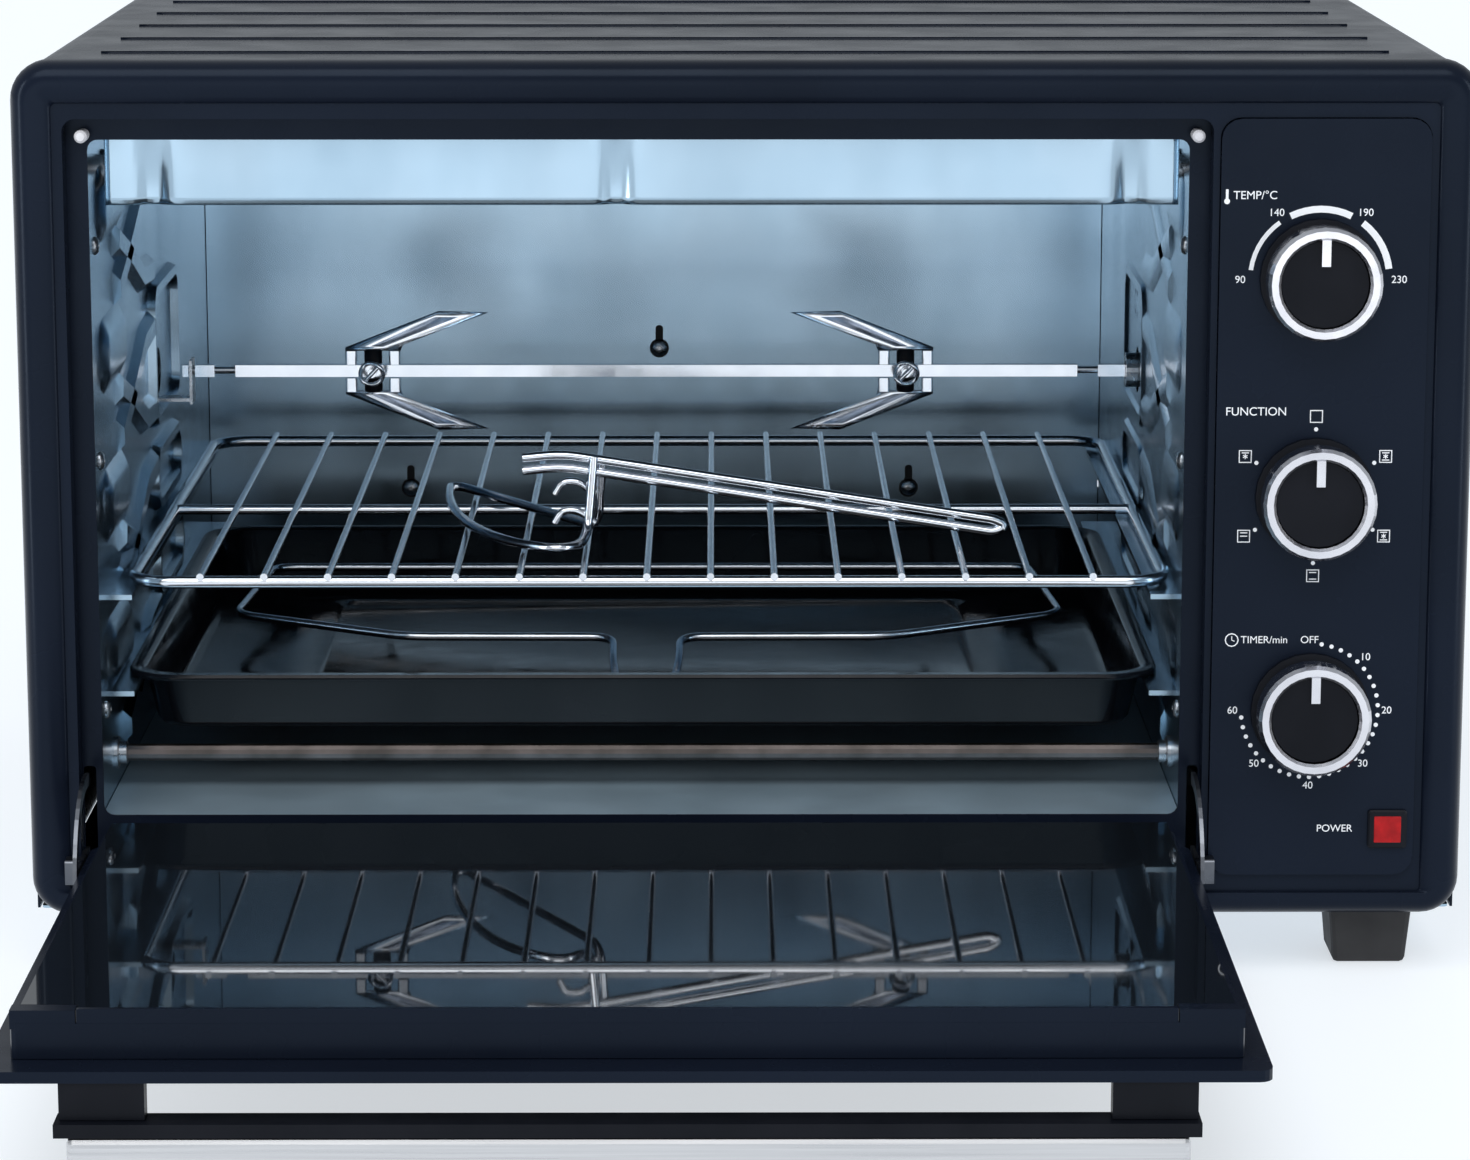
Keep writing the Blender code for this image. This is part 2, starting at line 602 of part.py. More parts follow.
def build_knob(name, knob, origin):
    """A black knob with its shaft, and a silver ring that carries the pointer."""
    x, y, z = origin
    body = turned("Y", (x, y, z), [
        (0.0, 17.4), (16.6, 17.4), (16.6, 8.2), (20.5, 8.2), (20.5, 3.0), (23.0, 2.4), (23.0, 0.0),
        (3.1, 0.0), (3.1, -10.0), (0.0, -10.0)])
    place(body, f"{name}_knob", "black_plastic", knob, origin)
    ring = turned("Y", (x, y, z), [
        (17.0, 19.0), (18.0, 20.2), (20.6, 20.2), (21.8, 18.6), (21.8, 8.5), (17.0, 8.5)], 32, True)
    pointer = box((x - 1.7, y - 19.2, z + 7.0), (x + 1.7, y - 17.7, z + 17.6))
    place(join(ring, pointer), f"{name}_knob_ring", "silver_plastic", knob, origin)


# ---------------------------------------------------------------- rotisserie

def build_spit(spit, origin):
    """Square bar with turned necks; the left neck lies in the hook, the right end in the socket."""
    half = SPIT_SIZE / 2

    def square(start, end):
        return box((start, SPIT_Y - half, SPIT_Z - half), (end, SPIT_Y + half, SPIT_Z + half))

    def neck(start, end, radius=1.5):
        return cylinder("X", ((start + end) / 2, SPIT_Y, SPIT_Z), radius, end - start, 12)

    rod = square(-219.6, 145.0)
    rod = join(rod, neck(-229.5, -219.0), square(-237.0, -228.7), neck(-240.6, -236.5),
               square(-242.5, -240.0),
               neck(144.0, 155.0), square(154.0, 174.0))
    place(rod, "spit_rod", "chrome", spit, origin)
    socket = turned("X", (0.0, SPIT_Y, SPIT_Z), [
        (0.0, 193.0), (4.0, 193.0), (4.0, 179.0), (7.5, 179.0),
        (7.5, 166.0), (4.2, 166.0), (4.2, 175.0), (0.0, 175.0)])
    place(socket, "spit_drive_socket", "plated_steel", spit, origin)


def build_fork(side, fork, origin):
    """Meat fork: a hub around the bar and two flat prongs pointing towards the middle of the spit."""
    x, towards = FORK_HUBS[side]
    hub = box((x - 12.0, SPIT_Y - 6.5, SPIT_Z - 10.0), (x + 12.0, SPIT_Y + 6.5, SPIT_Z + 10.0))
    for up in (1, -1):
        prong = [(x - 12.0 * towards, SPIT_Z + up * 9.0), (x + 12.0 * towards, SPIT_Z + up * 9.0),
                 (x + 37.0 * towards, SPIT_Z + up * 22.0), (x + 50.0 * towards, SPIT_Z + up * 26.2),
                 (x + 29.5 * towards, SPIT_Z + up * 26.2), (x - 12.0 * towards, SPIT_Z + up * 11.5)]
        hub = join(hub, prism("Y", SPIT_Y - 1.6, SPIT_Y + 1.6, prong))
    bore = SPIT_SIZE / 2 + GAP
    hub = cut(hub, box((x - 20.0, SPIT_Y - bore, SPIT_Z - bore), (x + 20.0, SPIT_Y + bore, SPIT_Z + bore)))
    hub = cut(hub, cylinder("Y", (x, SPIT_Y - 5.0, SPIT_Z), 2.4, 9.0, 12))
    place(hub, f"{side}_fork", "chrome", fork, origin)


def build_fork_screw(side, screw_axis, origin):
    """Thumbscrew through one side of the hub, tightened on the bar."""
    x = FORK_HUBS[side][0]
    screw = turned("Y", (x, SPIT_Y, SPIT_Z), [
        (0.0, 12.0), (4.2, 12.0), (4.2, 6.9), (2.0, 6.9), (2.0, 2.9), (0.0, 2.9)], 16)
    wing = box((x - 8.0, SPIT_Y - 17.5, SPIT_Z - 1.1), (x + 8.0, SPIT_Y - 9.0, SPIT_Z + 1.1))
    place(join(screw, wing), f"{side}_fork_screw", "chrome", screw_axis, origin)


def build_fan(fan, origin):
    hub = turned("X", (0.0, FAN_Y, FAN_Z), [
        (0.0, 214.0), (3.0, 214.0), (3.0, 196.0), (12.0, 196.0), (12.0, 194.5), (0.0, 194.5)], 18)
    for blade in range(6):
        angle = 2 * pi * blade / 6
        vane = box((186.0, -2.0, 4.0), (195.8, 0.0, FAN_RADIUS))
        vane.data.transform(Matrix.Rotation(angle, 4, "X"))
        vane.data.transform(Matrix.Translation((0.0, FAN_Y * MM, FAN_Z * MM)))
        hub = join(hub, vane)
    place(hub, "convection_fan", "galvanised", fan, origin)


# ---------------------------------------------------------------- rack, tray and lifting tool

def build_rack(rack):
    low_x, high_x, low_y, high_y = -244.0, 167.0, 49.0, 386.0
    outline = [(x, y, RACK_Z) for x, y in rounded(low_x, low_y, high_x, high_y, 16.0, 4)]
    grid = wire(outline, 2.5, closed=True)
    grid = join(grid, wire([(low_x, 209.0, RACK_Z), (high_x, 209.0, RACK_Z)], 2.3))
    for index in range(CROSS_WIRE_COUNT):
        x = CROSS_WIRE_FIRST + CROSS_WIRE_PITCH * index
        height = RACK_Z + CROSS_WIRE_RISE
        grid = join(grid, wire([(x, low_y - 1.0, height), (x, high_y + 1.0, height)], 1.5))
    place(grid, "wire_rack", "chrome", rack)


def build_tool(rack):
    """Wire lifting tool lying on the rack: a two-wire handle, two posts, a swept loop and two hooks."""
    floor = RACK_Z + CROSS_WIRE_RISE + 1.5 + GAP + TOOL_WIRE
    step = Vector((0.0, 0.0, TOOL_WIRE_GAP))
    bend = Vector((TOOL_TAIL_X + 16.0, TOOL_Y + 0.5, floor + TOOL_RISE))
    tail = bend - Vector((16.0, 0.5, 1.5))
    nose = Vector((TOOL_NOSE_X, TOOL_Y + 10.0, floor))
    tip = nose + Vector((5.0, 0.3, 0.0)) + step / 2
    handle = wire([tail + step, bend + step, nose + step, tip, nose, bend, tail], TOOL_WIRE)
    swept = []
    for stage in range(6):
        turn = radians(8.0 + 82.0 * stage / 5)
        swept.append((SWEEP_X - SWEEP_ACROSS * sin(turn), SWEEP_Y - SWEEP_DEEP * cos(turn), floor))
    down = [(SWEEP_X + 5.0, TOOL_Y, floor + 33.2), (SWEEP_X + 2.5, TOOL_Y - 4.0, floor + 3.0),
            (SWEEP_X, TOOL_Y - 18.0, floor)]
    back = [(SWEEP_X - SWEEP_ACROSS + 5.0, SWEEP_Y, floor), (SWEEP_X + 6.5, TOOL_Y + 6.0, floor + 3.0),
            (SWEEP_X + 8.5, TOOL_Y + 2.0, floor + 32.8)]
    tool = join(handle, wire(down + swept + back, TOOL_WIRE))
    for y, rise in ((TOOL_Y + 3.0, 17.2), (TOOL_Y - 2.5, 6.2)):
        x, z = SWEEP_X - 11.0, floor + rise
        hook = [(x, y, z + 1.0), (x + 5.0, y, z + 5.5), (x + 10.0, y, z + 4.0), (x + 16.5, y + 0.5, z)]
        tool = join(tool, wire(hook, 1.6))
    place(tool, "lifting_tool", "chrome", rack)


def build_tray(tray):
    def loop(inset, radius, z):
        flat = rounded(TRAY_X[0] + inset, TRAY_Y[0] + inset, TRAY_X[1] - inset, TRAY_Y[1] - inset, radius)
        return [(x, y, z) for x, y in flat]

    pan = lofted_pan([loop(0.0, 22.0, TRAY_RIM_Z - 2.0), loop(0.5, 21.5, TRAY_RIM_Z),
                      loop(6.0, 18.0, TRAY_RIM_Z), loop(11.0, 15.0, 63.5), loop(14.0, 12.0, 61.0)])
    place(thicken(pan, 0.8, 0.0), "baking_tray", "enamel", tray)


def build_insert(tray):
    """Wire frame standing in the tray, the same on both sides of the tray's middle, with two legs in front."""
    middle = sum(TRAY_X) / 2
    front, back = TRAY_Y[0] + 122.0, TRAY_Y[1] - 47.0
    top, foot = TRAY_RIM_Z - 10.0, TRAY_RIM_Z - 21.5
    half = [(11.0, front - 56.0, foot), (14.0, front - 27.0, top - 4.0), (14.0, front, top),
            (103.0, front + 1.0, top), (175.0, front + 45.0, top), (179.0, front + 55.0, top),
            (172.0, back, top)]
    left = [(middle - across, y, z) for across, y, z in half]
    right = [(middle + across, y, z) for across, y, z in reversed(half)]
    place(wire(left + right, INSERT_WIRE), "tray_wire_insert", "chrome", tray)


# ---------------------------------------------------------------- assembly

def build_moving_controls(frame):
    for name, z in KNOB_HEIGHTS.items():
        origin = (KNOB_X, PANEL_FACE - GAP, z)
        build_knob(name, make_empty(f"{name}_axis", origin, frame), origin)


def build_moving_rotisserie(frame):
    origin = (0.0, SPIT_Y, SPIT_Z)
    spit = make_empty("spit_axis", origin, frame)
    build_spit(spit, origin)
    for side, (x, _) in FORK_HUBS.items():
        build_fork(side, spit, origin)
        screw_origin = (x, SPIT_Y, SPIT_Z)
        build_fork_screw(side, make_empty(f"{side}_fork_screw_axis", (x, 0.0, 0.0), spit), screw_origin)
    fan_origin = (0.0, FAN_Y, FAN_Z)
    build_fan(make_empty("fan_axis", fan_origin, frame), fan_origin)


def build_moving_door(frame):
    origin = (0.0, HINGE_Y, HINGE_Z)
    door = make_empty("door_axis", origin, frame)
    build_door(door, origin)
    build_handle(door, origin)
    build_hinge_arms(door, origin)
    door.rotation_euler.x = radians(90)


def build_oven():
    frame = make_empty("oven_origin", (0.0, -OVEN_SHIFT_Y, FOOT_HEIGHT))
    for build in (build_casing, build_bezel, build_front_plate, build_panel, build_back_and_base,
                  build_cavity, build_heaters, build_feet_and_bumpers, build_hinge_lugs,
                  build_controls_inside, build_drives, build_rack, build_tool, build_tray, build_insert,
                  build_moving_controls, build_moving_rotisserie, build_moving_door):
        build(frame)


clear_scene()
PARTS = make_collection("rotisserie_oven")
TOOLS = make_collection("cutters")
build_oven()
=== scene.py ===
"""Looks for the countertop rotisserie oven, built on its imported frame.

Layout lengths are millimetres from the front of the bezel and the underside of the body, and at()
turns them into the frame's metres. Sizes that the frame holds are read from it.
"""
import json

from math import cos, pi, radians, sin

import bmesh
import bpy
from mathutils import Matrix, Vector


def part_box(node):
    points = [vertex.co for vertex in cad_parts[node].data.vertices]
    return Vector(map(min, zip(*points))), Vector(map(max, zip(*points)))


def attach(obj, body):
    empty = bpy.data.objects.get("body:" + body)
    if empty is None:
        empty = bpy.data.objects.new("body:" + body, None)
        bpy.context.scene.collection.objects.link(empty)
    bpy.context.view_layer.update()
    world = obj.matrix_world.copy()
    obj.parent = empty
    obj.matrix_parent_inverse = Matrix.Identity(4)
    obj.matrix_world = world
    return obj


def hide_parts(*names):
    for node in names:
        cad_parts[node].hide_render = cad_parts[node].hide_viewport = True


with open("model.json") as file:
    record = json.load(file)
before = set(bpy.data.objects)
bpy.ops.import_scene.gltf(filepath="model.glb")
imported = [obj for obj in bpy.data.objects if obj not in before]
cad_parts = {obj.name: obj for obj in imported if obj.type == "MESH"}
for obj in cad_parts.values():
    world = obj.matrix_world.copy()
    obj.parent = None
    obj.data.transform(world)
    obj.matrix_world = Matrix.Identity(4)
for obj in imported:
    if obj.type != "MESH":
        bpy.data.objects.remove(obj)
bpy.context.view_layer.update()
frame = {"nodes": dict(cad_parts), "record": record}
NODES = frame["nodes"]

MM = 0.001
BEZEL_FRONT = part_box("front_bezel")[0][1]
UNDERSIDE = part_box("base_plate")[0][2]
PANEL_LOW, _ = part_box("control_panel")

CAMERA_PLACE = (-11.07, -1819.1, 498.3)
CAMERA_PITCH, CAMERA_YAW = 0.1971, -0.00379
CAMERA_LENS, CAMERA_SENSOR = 117.55, 36.0


def at(x, y, z):
    """A point of the oven's layout, in the frame's metres."""
    return Vector((x * MM, y * MM + BEZEL_FRONT, z * MM + UNDERSIDE))


def centre(node):
    low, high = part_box(node)
    return [(a + b) / 2 for a, b in zip(low, high)]


# ---------------------------------------------------------------- materials

def new_material(name, colour, roughness, metallic=0.0, **sockets):
    """A Principled material and its node tree; uniform values sit on the shader's own sockets."""
    material = bpy.data.materials.new(name)
    material.use_nodes = True
    shader = material.node_tree.nodes["Principled BSDF"]
    shader.inputs["Base Color"].default_value = (*colour, 1.0)
    shader.inputs["Roughness"].default_value = roughness
    shader.inputs["Metallic"].default_value = metallic
    for socket, value in sockets.items():
        shader.inputs[socket.replace("_", " ")].default_value = value
    return material, material.node_tree, shader


def object_noise(tree, scale, stretch=(1.0, 1.0, 1.0), detail=3.0):
    """Noise in the object's own space, stretched along an axis where the surface is brushed."""
    place = tree.nodes.new("ShaderNodeTexCoord")
    mapping = tree.nodes.new("ShaderNodeMapping")
    mapping.inputs["Scale"].default_value = stretch
    noise = tree.nodes.new("ShaderNodeTexNoise")
    noise.inputs["Scale"].default_value = scale
    noise.inputs["Detail"].default_value = detail
    tree.links.new(place.outputs["Object"], mapping.inputs["Vector"])
    tree.links.new(mapping.outputs["Vector"], noise.inputs["Vector"])
    return noise.outputs["Fac"]


def add_bump(tree, shader, height, strength, distance=0.0002):
    bump = tree.nodes.new("ShaderNodeBump")
    bump.inputs["Strength"].default_value = strength
    bump.inputs["Distance"].default_value = distance
    tree.links.new(height, bump.inputs["Height"])
    tree.links.new(bump.outputs["Normal"], shader.inputs["Normal"])


def vary(tree, shader, socket, fac, low, high):
    """Drive a socket between two values, or two colours, by a texture."""
    if socket == "Base Color":
        ramp = tree.nodes.new("ShaderNodeValToRGB")
        ramp.color_ramp.elements[0].position = 0.3
        ramp.color_ramp.elements[1].position = 0.7
        ramp.color_ramp.elements[0].color = (*low, 1.0)
        ramp.color_ramp.elements[1].color = (*high, 1.0)
        tree.links.new(fac, ramp.inputs["Fac"])
        tree.links.new(ramp.outputs["Color"], shader.inputs[socket])
        return
    span = tree.nodes.new("ShaderNodeMapRange")
    span.inputs["From Min"].default_value = 0.3
    span.inputs["From Max"].default_value = 0.7
    span.inputs["To Min"].default_value = low
    span.inputs["To Max"].default_value = high
    tree.links.new(fac, span.inputs["Value"])
    tree.links.new(span.outputs["Result"], shader.inputs[socket])


def make_navy_paint():
    material, tree, shader = new_material("navy_paint", (0.005, 0.008, 0.015), 0.26, 0.0,
                                          Specular_IOR_Level=0.14)
    shader.inputs["Specular Tint"].default_value = (0.62, 0.78, 1.0, 1.0)
    vary(tree, shader, "Base Color", object_noise(tree, 8.0), (0.004, 0.006, 0.012), (0.006, 0.009, 0.018))
    vary(tree, shader, "Roughness", object_noise(tree, 40.0), 0.22, 0.30)
    add_bump(tree, shader, object_noise(tree, 700.0, detail=2.0), 0.05, 0.0001)
    return material


def make_galvanised(name="galvanised", low=(0.33, 0.46, 0.57), high=(0.40, 0.53, 0.64)):
    """Smooth zinc-coated sheet: soft patches, faint rolling lines and a blurred reflection."""
    material, tree, shader = new_material(name, low, 0.24, 1.0)
    vary(tree, shader, "Base Color", object_noise(tree, 14.0, detail=4.0), low, high)
    vary(tree, shader, "Roughness", object_noise(tree, 22.0, (1.0, 1.0, 0.3)), 0.17, 0.27)
    add_bump(tree, shader, object_noise(tree, 160.0, (0.15, 0.15, 1.0)), 0.03, 0.0001)
    return material


def make_lightened_floor_sheet():
    """The cavity floor's sheet: the zinc coat, dulled by baking, and painted lighter and less metallic than
    the walls' zinc, a painted brightness for the glow reflected off the floor.
    """
    material, tree, shader = new_material("lightened_floor_sheet", (0.42, 0.55, 0.66), 0.5, 0.75)
    patches = object_noise(tree, 14.0, detail=4.0)
    vary(tree, shader, "Base Color", patches, (0.38, 0.52, 0.62), (0.46, 0.6, 0.7))
    vary(tree, shader, "Roughness", object_noise(tree, 22.0), 0.42, 0.54)
    add_bump(tree, shader, object_noise(tree, 160.0), 0.03, 0.0001)
    return material


def make_brushed_steel():
    material, tree, shader = new_material("bar_steel", (0.58, 0.58, 0.59), 0.3, 1.0, Anisotropic=0.5)
    grain = object_noise(tree, 900.0, (0.012, 1.0, 1.0), 4.0)
    vary(tree, shader, "Roughness", grain, 0.24, 0.4)
    vary(tree, shader, "Base Color", grain, (0.52, 0.52, 0.53), (0.64, 0.64, 0.65))
    add_bump(tree, shader, grain, 0.12, 0.00005)
    return material


def make_simple_metal(name, low, high, rough_low, rough_high, bump):
    material, tree, shader = new_material(name, low, rough_low, 1.0)
    vary(tree, shader, "Base Color", object_noise(tree, 60.0), low, high)
    vary(tree, shader, "Roughness", object_noise(tree, 150.0), rough_low, rough_high)
    add_bump(tree, shader, object_noise(tree, 500.0), bump)
    return material


def make_moulded(name, colour, lighter, roughness, grain, strength, gloss=0.5):
    material, tree, shader = new_material(name, colour, roughness, Specular_IOR_Level=gloss)
    vary(tree, shader, "Base Color", object_noise(tree, 30.0), colour, lighter)
    vary(tree, shader, "Roughness", object_noise(tree, 90.0), roughness - 0.05, roughness + 0.05)
    add_bump(tree, shader, object_noise(tree, grain), strength, 0.0001)
    return material


def make_glass():
    """Tinted oven glass, dark enough to read as a mirror at a low angle."""
    material, tree, shader = new_material("dark_glass", (0.006, 0.008, 0.011), 0.02, 0.0, IOR=1.9)
    vary(tree, shader, "Roughness", object_noise(tree, 12.0), 0.012, 0.035)
    return material


def make_ink():
    material, tree, shader = new_material("panel_ink", (0.86, 0.88, 0.92), 0.5)
    vary(tree, shader, "Base Color", object_noise(tree, 80.0), (0.84, 0.86, 0.9), (0.9, 0.92, 0.95))
    return material


def make_lens():
    material, tree, shader = new_material("red_lens", (0.36, 0.004, 0.006), 0.12, 0.0, Specular_IOR_Level=0.2)
    vary(tree, shader, "Base Color", object_noise(tree, 200.0), (0.26, 0.003, 0.005), (0.44, 0.006, 0.008))
    return material


def make_materials():
    return {
        "navy_paint": make_navy_paint(),
        "galvanised": make_galvanised(),
        "chrome": make_simple_metal(
            "chrome", (0.72, 0.76, 0.82), (0.82, 0.85, 0.9), 0.12, 0.2, 0.02),
        "bar_steel": make_brushed_steel(),
        "plated_steel": make_simple_metal(
            "plated_steel", (0.42, 0.43, 0.45), (0.55, 0.56, 0.58), 0.22, 0.36, 0.08),
        "heater_sheath": make_simple_metal(
            "heater_sheath", (0.075, 0.066, 0.062), (0.15, 0.13, 0.125), 0.3, 0.45, 0.12),
        "enamel": make_moulded(
            "enamel", (0.003, 0.004, 0.006), (0.006, 0.007, 0.010), 0.12, 250.0, 0.05, 0.22),
        "black_plastic": make_moulded(
            "black_plastic", (0.003, 0.004, 0.007), (0.006, 0.007, 0.011), 0.40, 1100.0, 0.15, 0.12),
        "silver_plastic": make_simple_metal(
            "silver_plastic", (0.62, 0.62, 0.66), (0.72, 0.72, 0.76), 0.14, 0.22, 0.03),
        # A darker copy of the plated steel for the hinge parts: painted shade for the shadow under the door.
        "shaded_hinge_steel": make_simple_metal(
            "shaded_hinge_steel", (0.10, 0.11, 0.13), (0.16, 0.17, 0.19), 0.25, 0.38, 0.08),
        # The cavity floor's zinc is a lighter copy of the walls' zinc: painted brightness for the reflected
        # glow.
        "lightened_floor_sheet": make_lightened_floor_sheet(),
        "dark_glass": make_glass(),
        "red_lens": make_lens(),
        "white_rubber": make_moulded(
            "white_rubber", (0.62, 0.62, 0.66), (0.74, 0.74, 0.77), 0.6, 600.0, 0.2),
        "black_rubber": make_moulded(
            "black_rubber", (0.012, 0.012, 0.014), (0.02, 0.02, 0.022), 0.7, 700.0, 0.3),
    }


MATERIALS = make_materials()
INK = make_ink()

# CAD nodes whose finish differs from their slot's (the cavity floor's lighter zinc is painted brightness, the
# hinge parts' darker steel is painted shade for the shadow they sit in), and the rounding of sheet and
# moulded edges in mm.
NODE_FINISH = {
    "cavity_floor": "lightened_floor_sheet",
    "hinge_arm_left": "shaded_hinge_steel",
    "hinge_arm_right": "shaded_hinge_steel",
    "hinge_lug_left": "shaded_hinge_steel",
    "hinge_lug_right": "shaded_hinge_steel",
    "hinge_pin_left": "shaded_hinge_steel",
    "hinge_pin_right": "shaded_hinge_steel",
}


EDGE_ROUNDING = {
    "control_panel": 1.2,
    "door_outer_panel": 1.2,
    "door_inner_frame": 1.2,
    "handle_post_left": 1.5,
    "handle_post_right": 1.5,
    "handle_backing": 0.8,
}


def soften_edges(piece, width, angle):
    """Rounds the edges that turn by more than an angle in degrees, to a width in mm."""
    bevel = piece.modifiers.new("Soft edges", "BEVEL")
    bevel.width = width * MM
    bevel.segments = 3
    bevel.limit_method = "ANGLE"
    bevel.angle_limit = radians(angle)
    return bevel


def dress_nodes():
    """Every CAD node takes its procedural material, and some edges are softened."""
    for part in frame["record"]["subparts"]:
        node = NODES[part["node"]]
        finish = NODE_FINISH.get(part["node"], part["material_slot"])
        node.data.materials.clear()
        node.data.materials.append(MATERIALS[finish])
    for name, width in EDGE_ROUNDING.items():
        soften_edges(NODES[name], width, 50).harden_normals = True


# ---------------------------------------------------------------- shape helpers

SMOOTH_BELOW = 40


def add_object(name, data):
    piece = bpy.data.objects.new(name, data)
    bpy.context.scene.collection.objects.link(piece)
    return piece


def finish_piece(piece, slot, body="oven", material=None):
    """Gives a piece its material and the moving body it rides on."""
    piece.data.materials.clear()
    piece.data.materials.append(material or MATERIALS[slot])
    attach(piece, body)
    return piece


def add_sheet(piece, thickness):
    """Thickens a surface into sheet metal, half to each side, in mm."""
    sheet = piece.modifiers.new("Sheet", "SOLIDIFY")
    sheet.thickness = thickness * MM
    sheet.offset = 0.0


def from_form(name, form):
    bmesh.ops.recalc_face_normals(form, faces=form.faces)
    mesh = bpy.data.meshes.new(name)
    form.to_mesh(mesh)
    form.free()
    mesh.shade_smooth()
    mesh.set_sharp_from_angle(angle=radians(SMOOTH_BELOW))
    return add_object(name, mesh)


def rounded_path(points, radius, closed=False, steps=5):
    """The same route with each corner replaced by a smooth bend."""
    route = [Vector(point) for point in points]
    bent = []
    for index, corner in enumerate(route):
        if not closed and index in (0, len(route) - 1):
            bent.append(corner)
            continue
        before, after = route[index - 1], route[(index + 1) % len(route)]
        into, out = before - corner, after - corner
        reach = min(radius, into.length * 0.45, out.length * 0.45)
        first, last = corner + into.normalized() * reach, corner + out.normalized() * reach
        for step in range(steps + 1):
            t = step / steps
            bent.append(first * (1 - t) ** 2 + corner * (2 * t * (1 - t)) + last * t ** 2)
    return bent


def wires(name, routes, slot, body, *nodes):
    """Round wires as one piece: each route is (points in layout mm, wire radius in mm, closed)."""
    curve = bpy.data.curves.new(name, "CURVE")
    curve.dimensions = "3D"
    curve.bevel_depth = MM
    curve.bevel_resolution = 3
    curve.use_fill_caps = True
    for points, radius, closed in routes:
        spline = curve.splines.new("POLY")
        spline.points.add(len(points) - 1)
        for target, point in zip(spline.points, points):
            target.co = (*at(*point), 1.0)
            target.radius = radius
        spline.use_cyclic_u = closed
        spline.use_smooth = True
    piece = finish_piece(add_object(name, curve), slot, body)
    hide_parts(*nodes)


def rectangle(low_u, low_v, high_u, high_v, radius, steps=8):
    """A rectangle with round corners, counter-clockwise, as (u, v) pairs."""
    points = []
    for u, v, first in ((high_u - radius, high_v - radius, 0.0), (low_u + radius, high_v - radius, 90.0),
                        (low_u + radius, low_v + radius, 180.0), (high_u - radius, low_v + radius, 270.0)):
        for step in range(steps + 1):
            turn = radians(first + 90.0 * step / steps)
            points.append((u + radius * cos(turn), v + radius * sin(turn)))
    return points


def skin_loops(form, loops, close=False):
    """Faces between matching loops of layout points."""
    rings = [[form.verts.new(at(*point)) for point in loop] for loop in loops]
    pairs = list(zip(rings, rings[1:]))
    if close:
        pairs.append((rings[-1], rings[0]))
    for first, second in pairs:
        for k in range(len(first)):
            after = (k + 1) % len(first)
            form.faces.new((first[k], first[after], second[after], second[k]))
    return rings


def skin_solid(form, loops):
    """Faces between matching loops, closed at both ends."""
    rings = skin_loops(form, loops)
    form.faces.new(rings[0])
    form.faces.new(rings[-1])


def turned_piece(form, place, axis, profile, sides=24):
    """Adds a solid of revolution: profile pairs are (radius, distance along the axis), in mm."""
    along = Vector(axis)
    across = along.orthogonal().normalized()
    third = along.cross(across)
    rings = []
    for radius, distance in profile:
        ring = []
        for k in range(sides):
            turn = 2 * pi * k / sides
            offset = along * distance + (across * cos(turn) + third * sin(turn)) * radius
            ring.append(form.verts.new(at(*(Vector(place) + offset))))
        rings.append(ring)
    for first, second in zip(rings, rings[1:]):
        for k in range(sides):
            after = (k + 1) % sides
            form.faces.new((first[k], first[after], second[after], second[k]))
    form.faces.new(rings[0])
    form.faces.new(rings[-1])


def layout_box(node):
    """A node's box in layout millimetres."""
    low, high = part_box(node)
    shift = at(0, 0, 0)
    return [(low[k] - shift[k]) / MM for k in range(3)], [(high[k] - shift[k]) / MM for k in range(3)]


def layout_centre(node):
    """The middle of a node's box in layout millimetres."""
    return [(a + b) / 2 for a, b in zip(*layout_box(node))]


# ---------------------------------------------------------------- panel print

INK_DEPTH = 0.00012
FONT_SIZE_PER_HEIGHT = 1.4
TEXT_HEIGHT = 2.9


def print_text(words, x, z, name, height=TEXT_HEIGHT):
    """Raised ink lettering lying on the panel's face."""
    curve = bpy.data.curves.new(name, "FONT")
    curve.body = words
    curve.size = height * MM * FONT_SIZE_PER_HEIGHT
    curve.align_x = "CENTER"
    curve.align_y = "CENTER"
    curve.extrude = INK_DEPTH / 2
    piece = add_object(name, curve)
    piece.location = (x * MM, PANEL_LOW[1] - INK_DEPTH, z * MM + UNDERSIDE)
    piece.rotation_euler = (pi / 2, 0.0, 0.0)
    finish_piece(piece, "silver_plastic", material=INK)


def dial_point(x, z, radius, turn):
    """A point round a dial; turn is in degrees clockwise from the top."""
    return x + radius * sin(radians(turn)), z + radius * cos(radians(turn))


def print_band(x, z, radius, start, end, width, name):
    """A flat arc of ink round a dial, from one clockwise angle to another."""
    mesh = bpy.data.meshes.new(name)
    form = bmesh.new()
    steps = max(2, int(abs(end - start) / 6))
    rows = []
    for step in range(steps + 1):
        turn = start + (end - start) * step / steps
        row = []
        for reach in (radius - width / 2, radius + width / 2):
            u, v = dial_point(x, z, reach, turn)
            row.append(form.verts.new((u * MM, PANEL_LOW[1] - INK_DEPTH, v * MM + UNDERSIDE)))
        rows.append(row)
    for first, second in zip(rows, rows[1:]):
        form.faces.new((first[0], first[1], second[1], second[0]))
    bmesh.ops.recalc_face_normals(form, faces=form.faces)
    form.to_mesh(mesh)
    form.free()
    piece = add_object(name, mesh)
    thick = piece.modifiers.new("Ink", "SOLIDIFY")
    thick.thickness = INK_DEPTH
    thick.offset = 0.0
    finish_piece(piece, "silver_plastic", material=INK)


def knob_centre(name):
    """X and Z of a knob in layout millimetres, read from its ring."""
    x, _, z = centre(f"{name}_knob_ring")
    return x / MM, (z - UNDERSIDE) / MM


